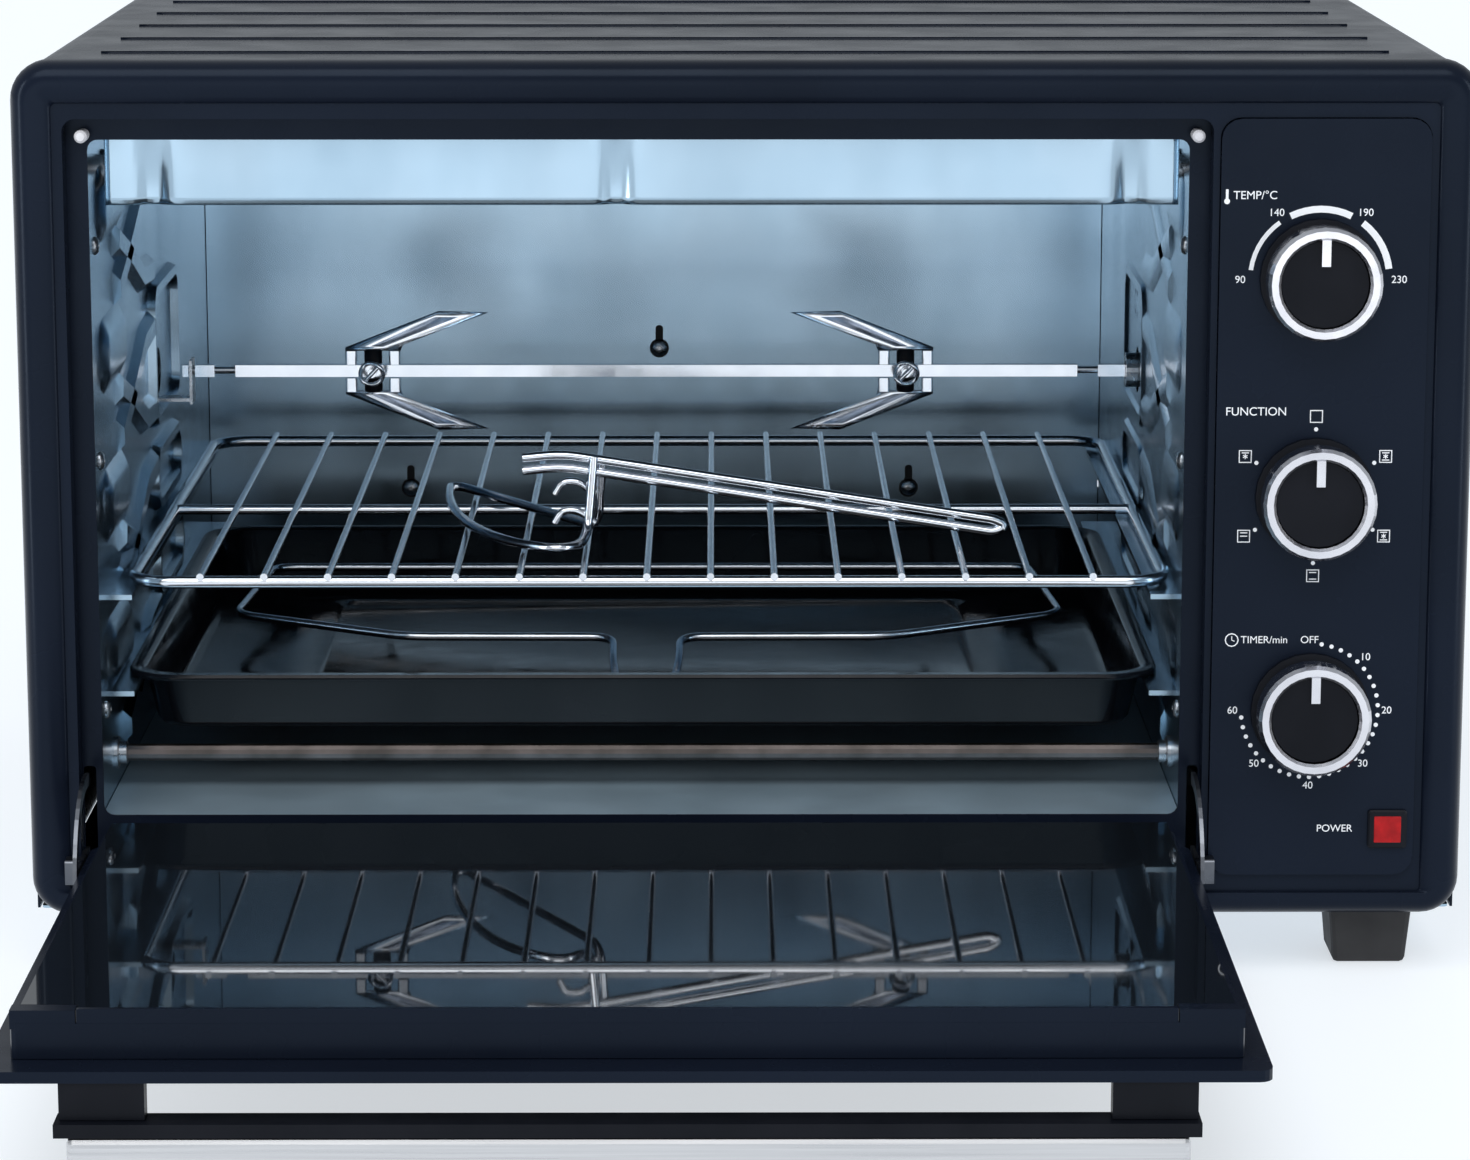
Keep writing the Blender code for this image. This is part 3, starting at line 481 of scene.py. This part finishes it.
def print_ring(points, width, name, closed=True):
    """A thin line of ink through layout (X, Z) points on the panel's face."""
    curve = bpy.data.curves.new(name, "CURVE")
    curve.dimensions = "3D"
    curve.bevel_depth = width / 2 * MM
    curve.bevel_resolution = 1
    spline = curve.splines.new("POLY")
    spline.points.add(len(points) - 1)
    for target, (u, v) in zip(spline.points, points):
        target.co = (u * MM, 0.0, v * MM + UNDERSIDE, 1.0)
    spline.use_cyclic_u = closed
    piece = add_object(name, curve)
    piece.scale.y = 2 * INK_DEPTH / (width * MM)
    piece.location.y = PANEL_LOW[1] - INK_DEPTH
    finish_piece(piece, "silver_plastic", material=INK)


def print_icon(x, z, bars, fan, name):
    """A small oven symbol: a square, a short bar for each heater that is on, and a star for the fan."""
    half = ICON_HALF
    square = [(x - half, z - half), (x + half, z - half), (x + half, z + half), (x - half, z + half)]
    print_ring(square, 0.6, f"{name}_square")
    for index, height in enumerate(bars):
        print_ring([(x - 1.4, z + height), (x + 1.4, z + height)], 0.45, f"{name}_bar_{index}", closed=False)
    for spoke in range(3 if fan else 0):
        turn = 60.0 * spoke
        print_ring([dial_point(x, z, 1.0, turn), dial_point(x, z, 1.0, turn + 180.0)], 0.4,
                   f"{name}_spoke_{spoke}", closed=False)


# A mark is (value, turn), an arc is (start, end, width), an icon is (heights of its bars, fan or not).
TEMPERATURE_MARKS = (("90", -91.0), ("140", -34.0), ("190", 34.0), ("230", 91.0))
TEMPERATURE_ARCS = ((-83.0, -36.0, 1.7), (-26.0, 26.0, 2.6), (37.0, 82.0, 2.6))
FUNCTION_ICONS = (((), False), ((1.4, -1.4), True), ((1.5, -1.5), True),
                  ((1.3, -1.3), False), ((1.3, 0.0), False), ((1.4,), True))
ICON_HALF = 2.3
MINUTE_TURN, MINUTE_DOTS = 45.0, 31
MARK_RADIUS = 26.6
TIMER_LABEL_RISE = 28.0


def print_temperature():
    x, z = knob_centre("temperature")
    print_text("TEMP/°C", x - 25.2, z + 31.8, "label_temperature", 3.2)
    print_ring([(x - 36.0, z + 30.2), (x - 36.0, z + 34.2)], 1.1, "thermometer_stem", closed=False)
    print_band(x - 36.0, z + 29.6, 0.55, 0.0, 360.0, 1.1, "thermometer_bulb")
    for index, (value, turn) in enumerate(TEMPERATURE_MARKS):
        print_text(value, *dial_point(x, z, 30.4, turn), f"temperature_mark_{index}")
    for index, (start, end, width) in enumerate(TEMPERATURE_ARCS):
        print_band(x, z, MARK_RADIUS, start, end, width, f"temperature_arc_{index}")


def print_function():
    x, z = knob_centre("function")
    print_text("FUNCTION", x - 23.2, z + 33.0, "label_function", 3.3)
    for index, (bars, fan) in enumerate(FUNCTION_ICONS):
        turn = 60.0 * index
        print_band(*dial_point(x, z, 26.2, turn), 0.4, 0.0, 360.0, 0.8, f"function_dot_{index}")
        print_icon(*dial_point(x, z, 31.2, turn), bars, fan, f"function_icon_{index}")


def print_timer():
    x, z = knob_centre("timer")
    print_text("TIMER/min", x - 18.2, z + TIMER_LABEL_RISE, "label_timer")
    clock_x, clock_z = x - 30.8, z + TIMER_LABEL_RISE
    print_ring([dial_point(clock_x, clock_z, 2.5, 30.0 * k) for k in range(12)], 0.5, "clock_rim")
    hands = [(clock_x, clock_z + 1.5), (clock_x, clock_z), (clock_x + 1.1, clock_z - 0.5)]
    print_ring(hands, 0.4, "clock_hands", closed=False)
    print_text("OFF", x - 0.6, z + TIMER_LABEL_RISE, "timer_off")
    for index in range(1, 7):
        print_text(str(10 * index), *dial_point(x, z, 30.0, MINUTE_TURN * index), f"timer_mark_{index}")
    for index in range(MINUTE_DOTS):
        turn = 9.0 + (6 * MINUTE_TURN - 15.0) * index / (MINUTE_DOTS - 1)
        print_band(*dial_point(x, z, MARK_RADIUS, turn), 0.42, 0.0, 360.0, 0.84, f"timer_dot_{index}")


def print_panel():
    print_temperature()
    print_function()
    print_timer()
    lamp_x, _, lamp_z = centre("power_lamp_lens")
    print_text("POWER", lamp_x / MM - 20.6, (lamp_z - UNDERSIDE) / MM, "label_power")


def make_lamp_surround():
    """Black frame round the lamp window."""
    low, high = layout_box("power_lamp_lens")
    form = bmesh.new()
    loops = []
    for inset, depth in ((-1.6, 0.7), (-1.6, -0.5), (-1.0, -1.1), (0.9, -1.1), (0.9, 0.7)):
        flat = rectangle(low[0] + inset, low[2] + inset, high[0] - inset, high[2] - inset, 1.2, 4)
        loops.append([(u, depth, v) for u, v in flat])
    skin_loops(form, loops, close=True)
    finish_piece(from_form("lamp_surround", form), "black_plastic")


# ---------------------------------------------------------------- body details

BEZEL_CORNER = 15.0
BEAD_WIDTH, BEAD_DEPTH, BAND = 16.0, 9.5, 9.8
BEZEL_DEPTH, FACE_DEPTH = 14.0, 2.8
RECESS_MARGINS = (20.0, 12.0, 2.6, 22.0)


def bezel_openings():
    """The door recess and the panel hole, as (low X, low Z, high X, high Z), from the boxes round them."""
    low, high = layout_box("front_bezel")
    panel_low, panel_high = layout_box("control_panel")
    panel_hole = (panel_low[0] - 0.3, panel_low[2] - 0.3, panel_high[0] + 0.3, panel_high[2] + 0.3)
    left, bottom, right, top = RECESS_MARGINS
    recess = (low[0] + left, low[2] + bottom, panel_hole[0] - right, high[2] - top)
    return recess, panel_hole


def bead_section():
    """The rolled edge as (inset, depth) pairs: half an ellipse, steep outside and easy inside."""
    crown = 0.42 * BEAD_WIDTH
    section = [(0.0, BEZEL_DEPTH)]
    for step in range(13):
        turn = pi * step / 12
        reach = crown if turn < pi / 2 else BEAD_WIDTH - crown
        drop = BEAD_DEPTH if turn < pi / 2 else FACE_DEPTH
        section.append((crown - reach * cos(turn), drop * (1.0 - sin(turn))))
    return section


def make_bezel():
    """Front frame: a rolled outer bead, and a lower flat face with soft edges round both openings."""
    low, high = layout_box("front_bezel")
    form = bmesh.new()
    loops = []
    for inset, depth in bead_section():
        bottom = min(inset, BAND)
        flat = rectangle(low[0] + inset, low[2] + bottom, high[0] - inset, high[2] - inset,
                         max(BEZEL_CORNER - inset, 2.2))
        loops.append([(u, depth, v) for u, v in flat])
    loops.append([(u, BEZEL_DEPTH, v) for u, _, v in loops[-1]])
    skin_loops(form, loops, close=True)
    bead = from_form("bezel_bead", form)
    finish_piece(bead, "navy_paint")
    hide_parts("front_bezel")
    curve = bpy.data.curves.new("bezel_face", "CURVE")
    curve.dimensions = "2D"
    curve.fill_mode = "BOTH"
    curve.extrude = (BEZEL_DEPTH - FACE_DEPTH) / 2 * MM
    inner = BEAD_WIDTH - 1.0
    outer = rectangle(low[0] + inner, low[2] + BAND - 0.6, high[0] - inner, high[2] - inner, 3.0)
    recess, panel_hole = bezel_openings()
    for loop in (outer, rectangle(*recess, 5.0), rectangle(*panel_hole, 8.0)):
        spline = curve.splines.new("POLY")
        spline.points.add(len(loop) - 1)
        for target, (u, v) in zip(spline.points, loop):
            target.co = (u * MM, v * MM + UNDERSIDE, 0.0, 1.0)
        spline.use_cyclic_u = True
    face = add_object("bezel_face", curve)
    face.rotation_euler.x = pi / 2
    face.location.y = BEZEL_FRONT + (BEZEL_DEPTH + FACE_DEPTH) / 2 * MM
    weld = face.modifiers.new("Weld", "WELD")
    weld.merge_threshold = 0.00001
    soften_edges(face, 1.0, 60)
    finish_piece(face, "navy_paint")


RIB_COUNT, FIRST_RIB, RIB_PITCH = 7, 51.0, 63.0
RIB_HALF_LENGTH, RIB_HALF_WIDTH = 250.0, 5.0


def make_top_ribs():
    """Pressed ribs across the top, each a long low pad with round ends."""
    top = layout_box("outer_casing")[1][2] - 1.0
    form = bmesh.new()
    for index in range(RIB_COUNT):
        middle = FIRST_RIB + RIB_PITCH * index
        loops = []
        for inset, rise in ((0.0, -0.1), (0.6, 0.35), (1.7, 0.65), (3.4, 0.78)):
            flat = rectangle(-RIB_HALF_LENGTH + inset, middle - RIB_HALF_WIDTH + inset,
                             RIB_HALF_LENGTH - inset, middle + RIB_HALF_WIDTH - inset,
                             RIB_HALF_WIDTH - inset - 0.05)
            loops.append([(u, v, top + rise) for u, v in flat])
        rings = skin_loops(form, loops)
        form.faces.new(rings[-1])
        form.faces.new(rings[0])
    finish_piece(from_form("casing_ribs", form), "navy_paint")


def ridge(form, wall_x, rise_by, route, half_width):
    """A pressed ridge along a route of (Y, Z) points on a side wall, with sloping flanks."""
    path = [Vector((0.0, y, z)) for y, z in route]
    rows = []
    for index, point in enumerate(path):
        ahead = path[min(index + 1, len(path) - 1)] - path[max(index - 1, 0)]
        side = Vector((0.0, -ahead.z, ahead.y)).normalized()
        row = []
        for offset, rise in ((-1.0, -0.2), (-0.45, 1.0), (0.45, 1.0), (1.0, -0.2)):
            spot = point + side * offset * half_width
            row.append(form.verts.new(at(wall_x + rise_by * rise, spot.y, spot.z)))
        rows.append(row)
    for first, second in zip(rows, rows[1:]):
        for k in range(4):
            after = (k + 1) % 4
            form.faces.new((first[k], first[after], second[after], second[k]))
    form.faces.new(rows[0])
    form.faces.new(rows[-1])


CROSSING_PITCH, CROSSING_COUNT = 60.0, 4
FRONT_PAD, BACK_PAD = (28.0, 98.0), (188.0, 283.0)
PAD_RISE, RACK_CLEARANCE = 3.4, 0.4
BORDER_SPANS = ((-22.0, 42.0), (-58.0, -28.0), (-97.0, -64.0))


def pad(form, x, rise_by, low_y, high_y, low_z, high_z, corner, flank):
    """A raised pressing on a side wall, with sloping flanks and softened corners."""
    loops = []
    for inset, rise in ((0.0, -0.2), (0.25 * flank, 0.25), (0.75 * flank, 0.85), (flank, 1.0)):
        flat = rectangle(low_y + inset, low_z + inset, high_y - inset, high_z - inset,
                         max(corner - inset, 1.0), 5)
        loops.append([(x + rise_by * rise, u, v) for u, v in flat])
    skin_solid(form, loops)


def pressings(form, x, rise_by, front, floor):
    """A column of pads near the mouth and X-shaped ribs between them, repeated up the wall."""
    near, far = front + FRONT_PAD[0], front + FRONT_PAD[1]
    back = front + BACK_PAD[0]
    for level in range(CROSSING_COUNT):
        crossing = floor + 30.0 + CROSSING_PITCH * level
        pad(form, x, rise_by, near, far, crossing + 12.0, crossing + CROSSING_PITCH - 16.0, 12.0, 9.0)
        for up in (1, -1):
            route = ((far - 22.0, crossing - up * 10.0), (far + 14.0, crossing),
                     (back - 30.0, crossing + up * 16.0), (back + 4.0, crossing + up * 18.0))
            ridge(form, x, rise_by, route, 8.0)


def panel_borders(form, x, rise_by, front):
    """Raised round-cornered borders: a tall one round the spit's hole, and two below it."""
    spit_z = layout_box("spit_support_hook")[1][2] - 5.0
    low_y, high_y = front + BACK_PAD[0], front + BACK_PAD[1]
    for drop, rise_to in BORDER_SPANS:
        low_z, high_z = spit_z + drop, spit_z + rise_to
        loops = []
        for inset, rise in ((0.0, -0.2), (2.0, 1.0), (6.0, 1.0), (8.0, -0.2)):
            flat = rectangle(low_y + inset, low_z + inset, high_y - inset, high_z - inset, 14.0 - inset, 6)
            loops.append([(x + rise_by * rise, u, v) for u, v in flat])
        skin_loops(form, loops, close=True)


def make_wall_pressings():
    """Pressings on both side walls, three wall screws each, and bushes at the heaters' ends."""
    heaters = [node for node in NODES if "_heater_" in node]
    for side, inward in (("left", 1), ("right", -1)):
        low, high = layout_box(f"cavity_{side}_wall")
        front, floor, roof = low[1], low[2], high[2]
        x = low[0] + 1.0 if side == "left" else high[0] - 1.0
        form = bmesh.new()
        rack_edge = layout_box("wire_rack")[0 if side == "left" else 1][0]
        rise_by = inward * min(PAD_RISE, abs(rack_edge - x) - RACK_CLEARANCE)
        pressings(form, x, rise_by, front, floor)
        panel_borders(form, x, rise_by, front)
        finish_piece(from_form(f"{side}_wall_ridges", form), "galvanised")
        form = bmesh.new()
        for z in (roof - 48.0, (floor + roof) / 2 + 3.0, floor + 39.0):
            turned_piece(form, (x, front + 24.0, z), (inward, 0, 0),
                         ((3.6, -0.1), (3.6, 0.4), (2.8, 1.3), (1.2, 1.7), (0.9, 1.1)), 20)
        finish_piece(from_form(f"{side}_wall_screws", form), "plated_steel")
        form = bmesh.new()
        for node in heaters:
            _, y, z = layout_centre(node)
            turned_piece(form, (x, y, z), (inward, 0, 0),
                         ((6.5, -0.1), (6.5, 1.2), (4.6, 1.8), (4.6, 4.6), (3.9, 5.0)), 24)
        finish_piece(from_form(f"{side}_heater_bushes", form), "plated_steel")


HANGER_SPREAD, HANGER_SHIFT = 119.0, 2.5
HANGER_HIGH, HANGER_LOW = 121.5, 54.0


def make_back_fittings():
    """Three keyhole hangers on the back wall, each a small screw over black pieces that fill the keyhole's
    round hole and slot: painted shade in the opening.
    """
    low, high = layout_box("cavity_back_wall")
    y, middle, floor = low[1], (low[0] + high[0]) / 2 + HANGER_SHIFT, low[2]
    keyhole_shade, screws = bmesh.new(), bmesh.new()
    for x, z in ((middle, floor + HANGER_HIGH), (middle - HANGER_SPREAD, floor + HANGER_LOW),
                 (middle + HANGER_SPREAD, floor + HANGER_LOW)):
        turned_piece(keyhole_shade, (x, y, z), (0, -1, 0), ((4.6, -0.1), (4.6, 0.15), (4.3, 0.2)), 20)
        loops = []
        for depth in (0.1, -0.2):
            loops.append([(x + u, y + depth, z + v) for u, v in rectangle(-1.8, 2.0, 1.8, 11.0, 1.6, 4)])
        skin_solid(keyhole_shade, loops)
        turned_piece(screws, (x, y - 0.2, z), (0, -1, 0),
                     ((3.6, 0.0), (3.6, 0.7), (2.7, 1.6), (1.0, 1.9), (0.8, 1.2)), 20)
    # The black pieces in the keyholes are painted shade in the openings.
    finish_piece(from_form("back_keyhole_shade", keyhole_shade), "black_rubber")
    finish_piece(from_form("back_screws", screws), "plated_steel")


FLUTE_INSET, FLUTE_DEPTH, FLUTE_HALF_WIDTH = 18.5, 3.2, 5.0


def make_deflector():
    """Heat deflector over the mouth, with three pressed upright flutes."""
    low, high = layout_box("top_deflector")
    form = bmesh.new()
    columns = []
    flutes = (low[0] + FLUTE_INSET, (low[0] + high[0]) / 2 - 10.0, high[0] - FLUTE_INSET)
    xs = sorted({low[0] + (high[0] - low[0]) * k / 80 for k in range(81)}
                | {flute + step * 2.0 for flute in flutes for step in range(-8, 9)})
    for x in [x for x in xs if low[0] <= x <= high[0]]:
        dent = sum(FLUTE_DEPTH / (1.0 + ((x - flute) / FLUTE_HALF_WIDTH) ** 4) for flute in flutes)
        column = []
        for z in (low[2], low[2] + 3.0, (low[2] + high[2]) / 2, high[2] - 3.0, high[2] - 0.6):
            fade = min(1.0, (high[2] - z) / 8.0)
            column.append(form.verts.new(at(x, low[1] + 0.5 + dent * fade, z)))
        column.append(form.verts.new(at(x, high[1], high[2] - 0.6)))
        columns.append(column)
    for first, second in zip(columns, columns[1:]):
        for k in range(5):
            form.faces.new((first[k], first[k + 1], second[k + 1], second[k]))
    piece = from_form("fluted_deflector", form)
    add_sheet(piece, 0.8)
    finish_piece(piece, "galvanised")
    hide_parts("top_deflector")


LIP_END = 19.4


def make_glass_lip():
    """Painted lip over the glass's outer edge, between the door's corner blocks."""
    low, high = layout_box("door_glass")
    outer = layout_box("door_inner_frame")[0][1]
    form = bmesh.new()
    loops = []
    ends = (low[0] + LIP_END, high[0] - LIP_END)
    for x in (ends[0], ends[0] + 1.0, ends[1] - 1.0, ends[1]):
        reach = 0.15 if x in ends else 0.0
        section = [(outer + 0.08 + reach, low[2] - 1.5), (low[1] - 0.05, low[2] - 1.5),
                   (low[1] - 0.05, high[2] - 0.1), (low[1] + 1.6, high[2] + 0.1),
                   (low[1] + 1.6, high[2] + 0.5 - reach), (outer + 0.3 + reach, high[2] + 0.4 - reach)]
        loops.append([(x, y, z) for y, z in section])
    skin_solid(form, loops)
    finish_piece(from_form("glass_lip", form), "navy_paint", "door")


# ---------------------------------------------------------------- rack, tray and tool

CROSS_WIRE_PITCH, CROSS_WIRES_EACH_SIDE, MID_RAIL = 25.3, 7, 162.5
RIM_WIRE, MIDDLE_WIRE, CROSS_WIRE = 2.5, 2.2, 1.5


def make_rack():
    """Wire rack: a rounded rim, one rail across its middle and thin wires from front to back."""
    low, high = layout_box("wire_rack")
    rail, crown = low[2] + RIM_WIRE, high[2] - CROSS_WIRE
    frame_loop = rectangle(low[0] + RIM_WIRE, low[1] + 3.5, high[0] - RIM_WIRE, high[1] - 3.5, 16.0, 10)
    middle_rail = [(low[0] + 3.0, low[1] + MID_RAIL, rail), (high[0] - 3.0, low[1] + MID_RAIL, rail)]
    routes = [([(x, y, rail) for x, y in frame_loop], RIM_WIRE, True), (middle_rail, MIDDLE_WIRE, False)]
    middle = (low[0] + high[0]) / 2 - 0.5
    for index in range(-CROSS_WIRES_EACH_SIDE, CROSS_WIRES_EACH_SIDE + 1):
        x = middle + CROSS_WIRE_PITCH * index
        routes.append(([(x, low[1] + 1.0, crown), (x, high[1] - 1.0, crown)], CROSS_WIRE, False))
    wires("rack_wires", routes, "chrome", "rack", "wire_rack")


def make_tool():
    """Lifting tool: a two-wire handle, two posts, a swept loop lying on the rack and two hooks."""
    low, high = layout_box("lifting_tool")
    floor = low[2] + 2.0
    sweep = Vector((low[0] + 62.0, high[1] - 2.0, floor))
    across, deep = sweep.x - low[0] - 2.0, sweep.y - low[1] - 2.0
    post_y = low[1] + 30.0
    step = Vector((0.0, 0.0, 5.2))
    bend = Vector((sweep.x - 8.0, post_y + 0.5, floor + 29.0))
    tail = bend - Vector((16.0, 0.5, 1.5))
    nose = Vector((high[0] - 7.0, post_y + 10.0, floor))
    tip = nose + Vector((5.0, 0.3, 0.0)) + step / 2
    handle = [tail + step, bend + step, nose + step, tip, nose, bend, tail]
    to_post = post_y - sweep.y
    down = [sweep + Vector((5.0, to_post, 33.0)), sweep + Vector((2.5, to_post - 4.0, 3.0)),
            sweep + Vector((0.0, to_post - 18.0, 0.0))]
    swept = []
    for stage in range(9):
        turn = radians(8.0 + 82.0 * stage / 8)
        swept.append(sweep - Vector((across * sin(turn), deep * cos(turn), 0.0)))
    back = [sweep + Vector((5.0 - across, 0.0, 0.0)), sweep + Vector((6.5, to_post + 6.0, 3.0)),
            sweep + Vector((8.5, to_post + 2.0, 32.6))]
    routes = [(rounded_path(handle, 9.0), 2.0, False), (rounded_path(down + swept + back, 9.0), 2.0, False)]
    for y, rise in ((post_y + 3.0, 17.2), (post_y - 2.5, 6.2)):
        start = Vector((sweep.x - 11.0, y, floor + rise))
        bends = ((0.0, 0.0, 0.0), (3.0, 0.0, 5.2), (9.5, 0.0, 5.4), (16.5, 0.5, 0.0))
        bent = [start + Vector(reach) for reach in bends]
        routes.append((rounded_path(bent, 4.0), 1.6, False))
    wires("lifting_tool_wires", routes, "chrome", "tool", "lifting_tool")


def make_tray():
    """Enamelled tray with a rolled rim, soft corners and a raised panel pressed in its floor."""
    low, high = layout_box("baking_tray")
    rim, floor = high[2] - 0.4, low[2] + 0.5
    form = bmesh.new()
    profile = ((0.4, 22.0, rim - 2.0), (0.4, 22.0, rim - 0.8), (1.2, 21.0, rim), (5.4, 18.5, rim),
               (6.6, 17.5, rim - 1.0), (11.0, 15.0, floor + 3.0), (12.6, 13.6, floor + 1.0),
               (16.0, 12.0, floor), (50.0, 8.0, floor), (52.5, 8.0, floor + 1.2),
               (66.0, 8.0, floor + 1.2), (68.0, 8.0, floor + 0.2))
    loops = []
    for inset, radius, z in profile:
        flat = rectangle(low[0] + inset, low[1] + inset, high[0] - inset, high[1] - inset, radius, 8)
        loops.append([(u, v, z) for u, v in flat])
    rings = skin_loops(form, loops)
    form.faces.new(rings[-1])
    piece = from_form("enamel_tray", form)
    add_sheet(piece, 0.7)
    finish_piece(piece, "enamel", "tray")
    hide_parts("baking_tray")


def make_insert():
    """The tray's wire insert: one bent wire, open at the front, made as a half and its mirror."""
    low, high = layout_box("tray_wire_insert")
    middle, reach = (low[0] + high[0]) / 2, (high[0] - low[0]) / 2 - 1.8
    front, back, top, foot = low[1] + 57.8, high[1] - 1.8, high[2] - 1.8, low[2] + 2.2
    half = [(11.0, front - 56.0, foot), (14.0, front - 27.0, top - 4.0), (14.0, front, top),
            (103.0, front + 1.0, top), (reach - 4.0, front + 45.0, top), (reach, front + 55.0, top),
            (reach - 7.0, back, top)]
    left = [(middle - across, y, z) for across, y, z in half]
    right = [(middle + across, y, z) for across, y, z in reversed(half)]
    route = (rounded_path(left + right, 10.0), 1.8, False)
    wires("insert_wires", [route], "chrome", "insert", "tray_wire_insert")


# ---------------------------------------------------------------- rotisserie

def fork_prong(form, x, y, z, towards, up):
    """One pointed prong: a flat rim round a pressed groove."""
    rim = ((-12.0, 8.7), (-12.0, 10.2), (28.5, 26.0), (50.0, 25.4), (13.0, 11.3), (12.0, 8.7))
    groove = ((-1.0, 10.6), (27.0, 23.6), (37.0, 23.4), (4.5, 10.2))
    floor_line = ((2.0, 10.9), (31.0, 23.3))

    def vert(point, depth):
        return form.verts.new(at(x + point[0] * towards, y + depth, z + point[1] * up))

    outer = [vert(point, -1.2) for point in rim]
    inner = [vert(point, -1.0) for point in groove]
    deep = [vert(point, 1.6) for point in floor_line]
    form.faces.new((outer[1], outer[2], inner[1], inner[0]))
    form.faces.new((outer[2], outer[3], inner[2], inner[1]))
    form.faces.new((outer[3], outer[4], inner[3], inner[2]))
    form.faces.new((outer[4], outer[5], outer[0], outer[1], inner[0], inner[3]))
    form.faces.new((inner[0], inner[1], deep[1], deep[0]))
    form.faces.new((inner[1], inner[2], deep[1]))
    form.faces.new((inner[2], inner[3], deep[0], deep[1]))
    form.faces.new((inner[3], inner[0], deep[0]))


def make_fork(side, towards):
    """One fork: two pressed prongs, four collar blocks, two round bosses and its thumbscrew."""
    low, high = layout_box(f"{side}_fork")
    _, y, z = layout_centre(f"{side}_fork")
    x = low[0] + 12.0 if towards > 0 else high[0] - 12.0
    form = bmesh.new()
    for up in (1, -1):
        fork_prong(form, x, y, z, towards, up)
    prongs = from_form(f"{side}_fork_prongs", form)
    add_sheet(prongs, 0.9)
    finish_piece(prongs, "chrome", f"{side}_fork_body")
    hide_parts(f"{side}_fork")
    form = bmesh.new()
    for middle in (x - 9.4, x + 9.4):
        for up in (1, -1):
            flat = rectangle(-2.4, -4.2, 2.4, 4.2, 0.8, 3)
            loops = [[(middle + u, y + v, z + height * up) for u, v in flat] for height in (3.0, 8.9)]
            skin_solid(form, loops)
    finish_piece(from_form(f"{side}_fork_collars", form), "chrome", f"{side}_fork_body")
    form = bmesh.new()
    for up in (1, -1):
        turned_piece(form, (x, y, z), (0, 0, up), ((3.9, 3.1), (3.9, 8.8), (3.4, 9.4)), 20)
    finish_piece(from_form(f"{side}_fork_nut", form), "black_plastic", f"{side}_fork_body")
    reach = y - 10.5
    turns = [2 * pi * k / 28 for k in range(28)]
    head = [(x + 3.9 * cos(t) * 1.25, reach - 3.0 * sin(t) * cos(t), z + 4.6 * sin(t)) for t in turns]
    shank = [(x, y - 3.4, z), (x, reach + 0.5, z)]
    bar = [(x - 3.4, reach, z - 3.6), (x, reach - 0.8, z), (x + 3.4, reach, z + 3.6)]
    routes = [(head, 1.0, True), (shank, 1.9, False), (rounded_path(bar, 2.0), 0.9, False)]
    wires(f"{side}_thumbscrew", routes, "chrome", f"{side}_screw", f"{side}_fork_screw")


# ---------------------------------------------------------------- stage

def make_floor():
    bpy.ops.mesh.primitive_plane_add(size=14.0, location=(0.0, 0.0, 0.0))
    floor = bpy.context.object
    floor.name = "floor"
    material, tree, shader = new_material("pale_floor", (0.42, 0.44, 0.46), 0.6, Specular_IOR_Level=0.1,
                                          Emission_Strength=0.62)
    shader.inputs["Emission Color"].default_value = (0.92, 0.96, 1.0, 1.0)
    vary(tree, shader, "Roughness", object_noise(tree, 3.0), 0.5, 0.6)
    floor.data.materials.append(material)


def add_light(name, place, target, size, power):
    light = bpy.data.lights.new(name, "AREA")
    light.shape = "RECTANGLE"
    light.size, light.size_y = size
    light.energy = power
    lamp = add_object(name, light)
    lamp.location = place
    lamp.visible_camera = False
    lamp.rotation_euler = (Vector(target) - Vector(place)).to_track_quat("-Z", "Y").to_euler()


def make_studio():
    """Pale surroundings, a very soft sun from above and in front, a low front fill and two side boxes."""
    world = bpy.data.worlds.new("studio")
    world.use_nodes = True
    background = world.node_tree.nodes["Background"]
    background.inputs["Color"].default_value = (0.88, 0.94, 1.0, 1.0)
    background.inputs["Strength"].default_value = 0.5
    bpy.context.scene.world = world
    sun = bpy.data.lights.new("soft_sun", "SUN")
    sun.energy = 1.7
    sun.angle = radians(50)
    add_object("soft_sun", sun).rotation_euler = (radians(36), 0.0, radians(-8))
    add_light("left_box", (-0.95, -0.45, 0.35), (-0.25, -0.05, 0.18), (0.2, 0.8), 2.8)
    add_light("right_box", (0.95, -0.45, 0.35), (0.25, -0.05, 0.18), (0.2, 0.8), 2.2)
    add_light("low_front_fill", (-0.05, -1.25, 0.22), (-0.04, 0.3, 0.1), (1.4, 0.3), 0.9)
    bpy.context.scene.view_settings.view_transform = "Standard"


def make_camera():
    data = bpy.data.cameras.new("camera")
    data.lens = CAMERA_LENS
    data.sensor_width = CAMERA_SENSOR
    camera = add_object("camera", data)
    camera.location = at(*CAMERA_PLACE)
    camera.rotation_euler = (pi / 2 - CAMERA_PITCH, 0.0, CAMERA_YAW)
    bpy.context.scene.camera = camera


make_camera()
make_floor()
make_studio()
dress_nodes()
print_panel()
make_lamp_surround()
make_bezel()
make_top_ribs()
make_wall_pressings()
make_back_fittings()
make_deflector()
make_glass_lip()
make_rack()
make_tool()
make_tray()
make_insert()
make_fork("left", 1)
make_fork("right", -1)
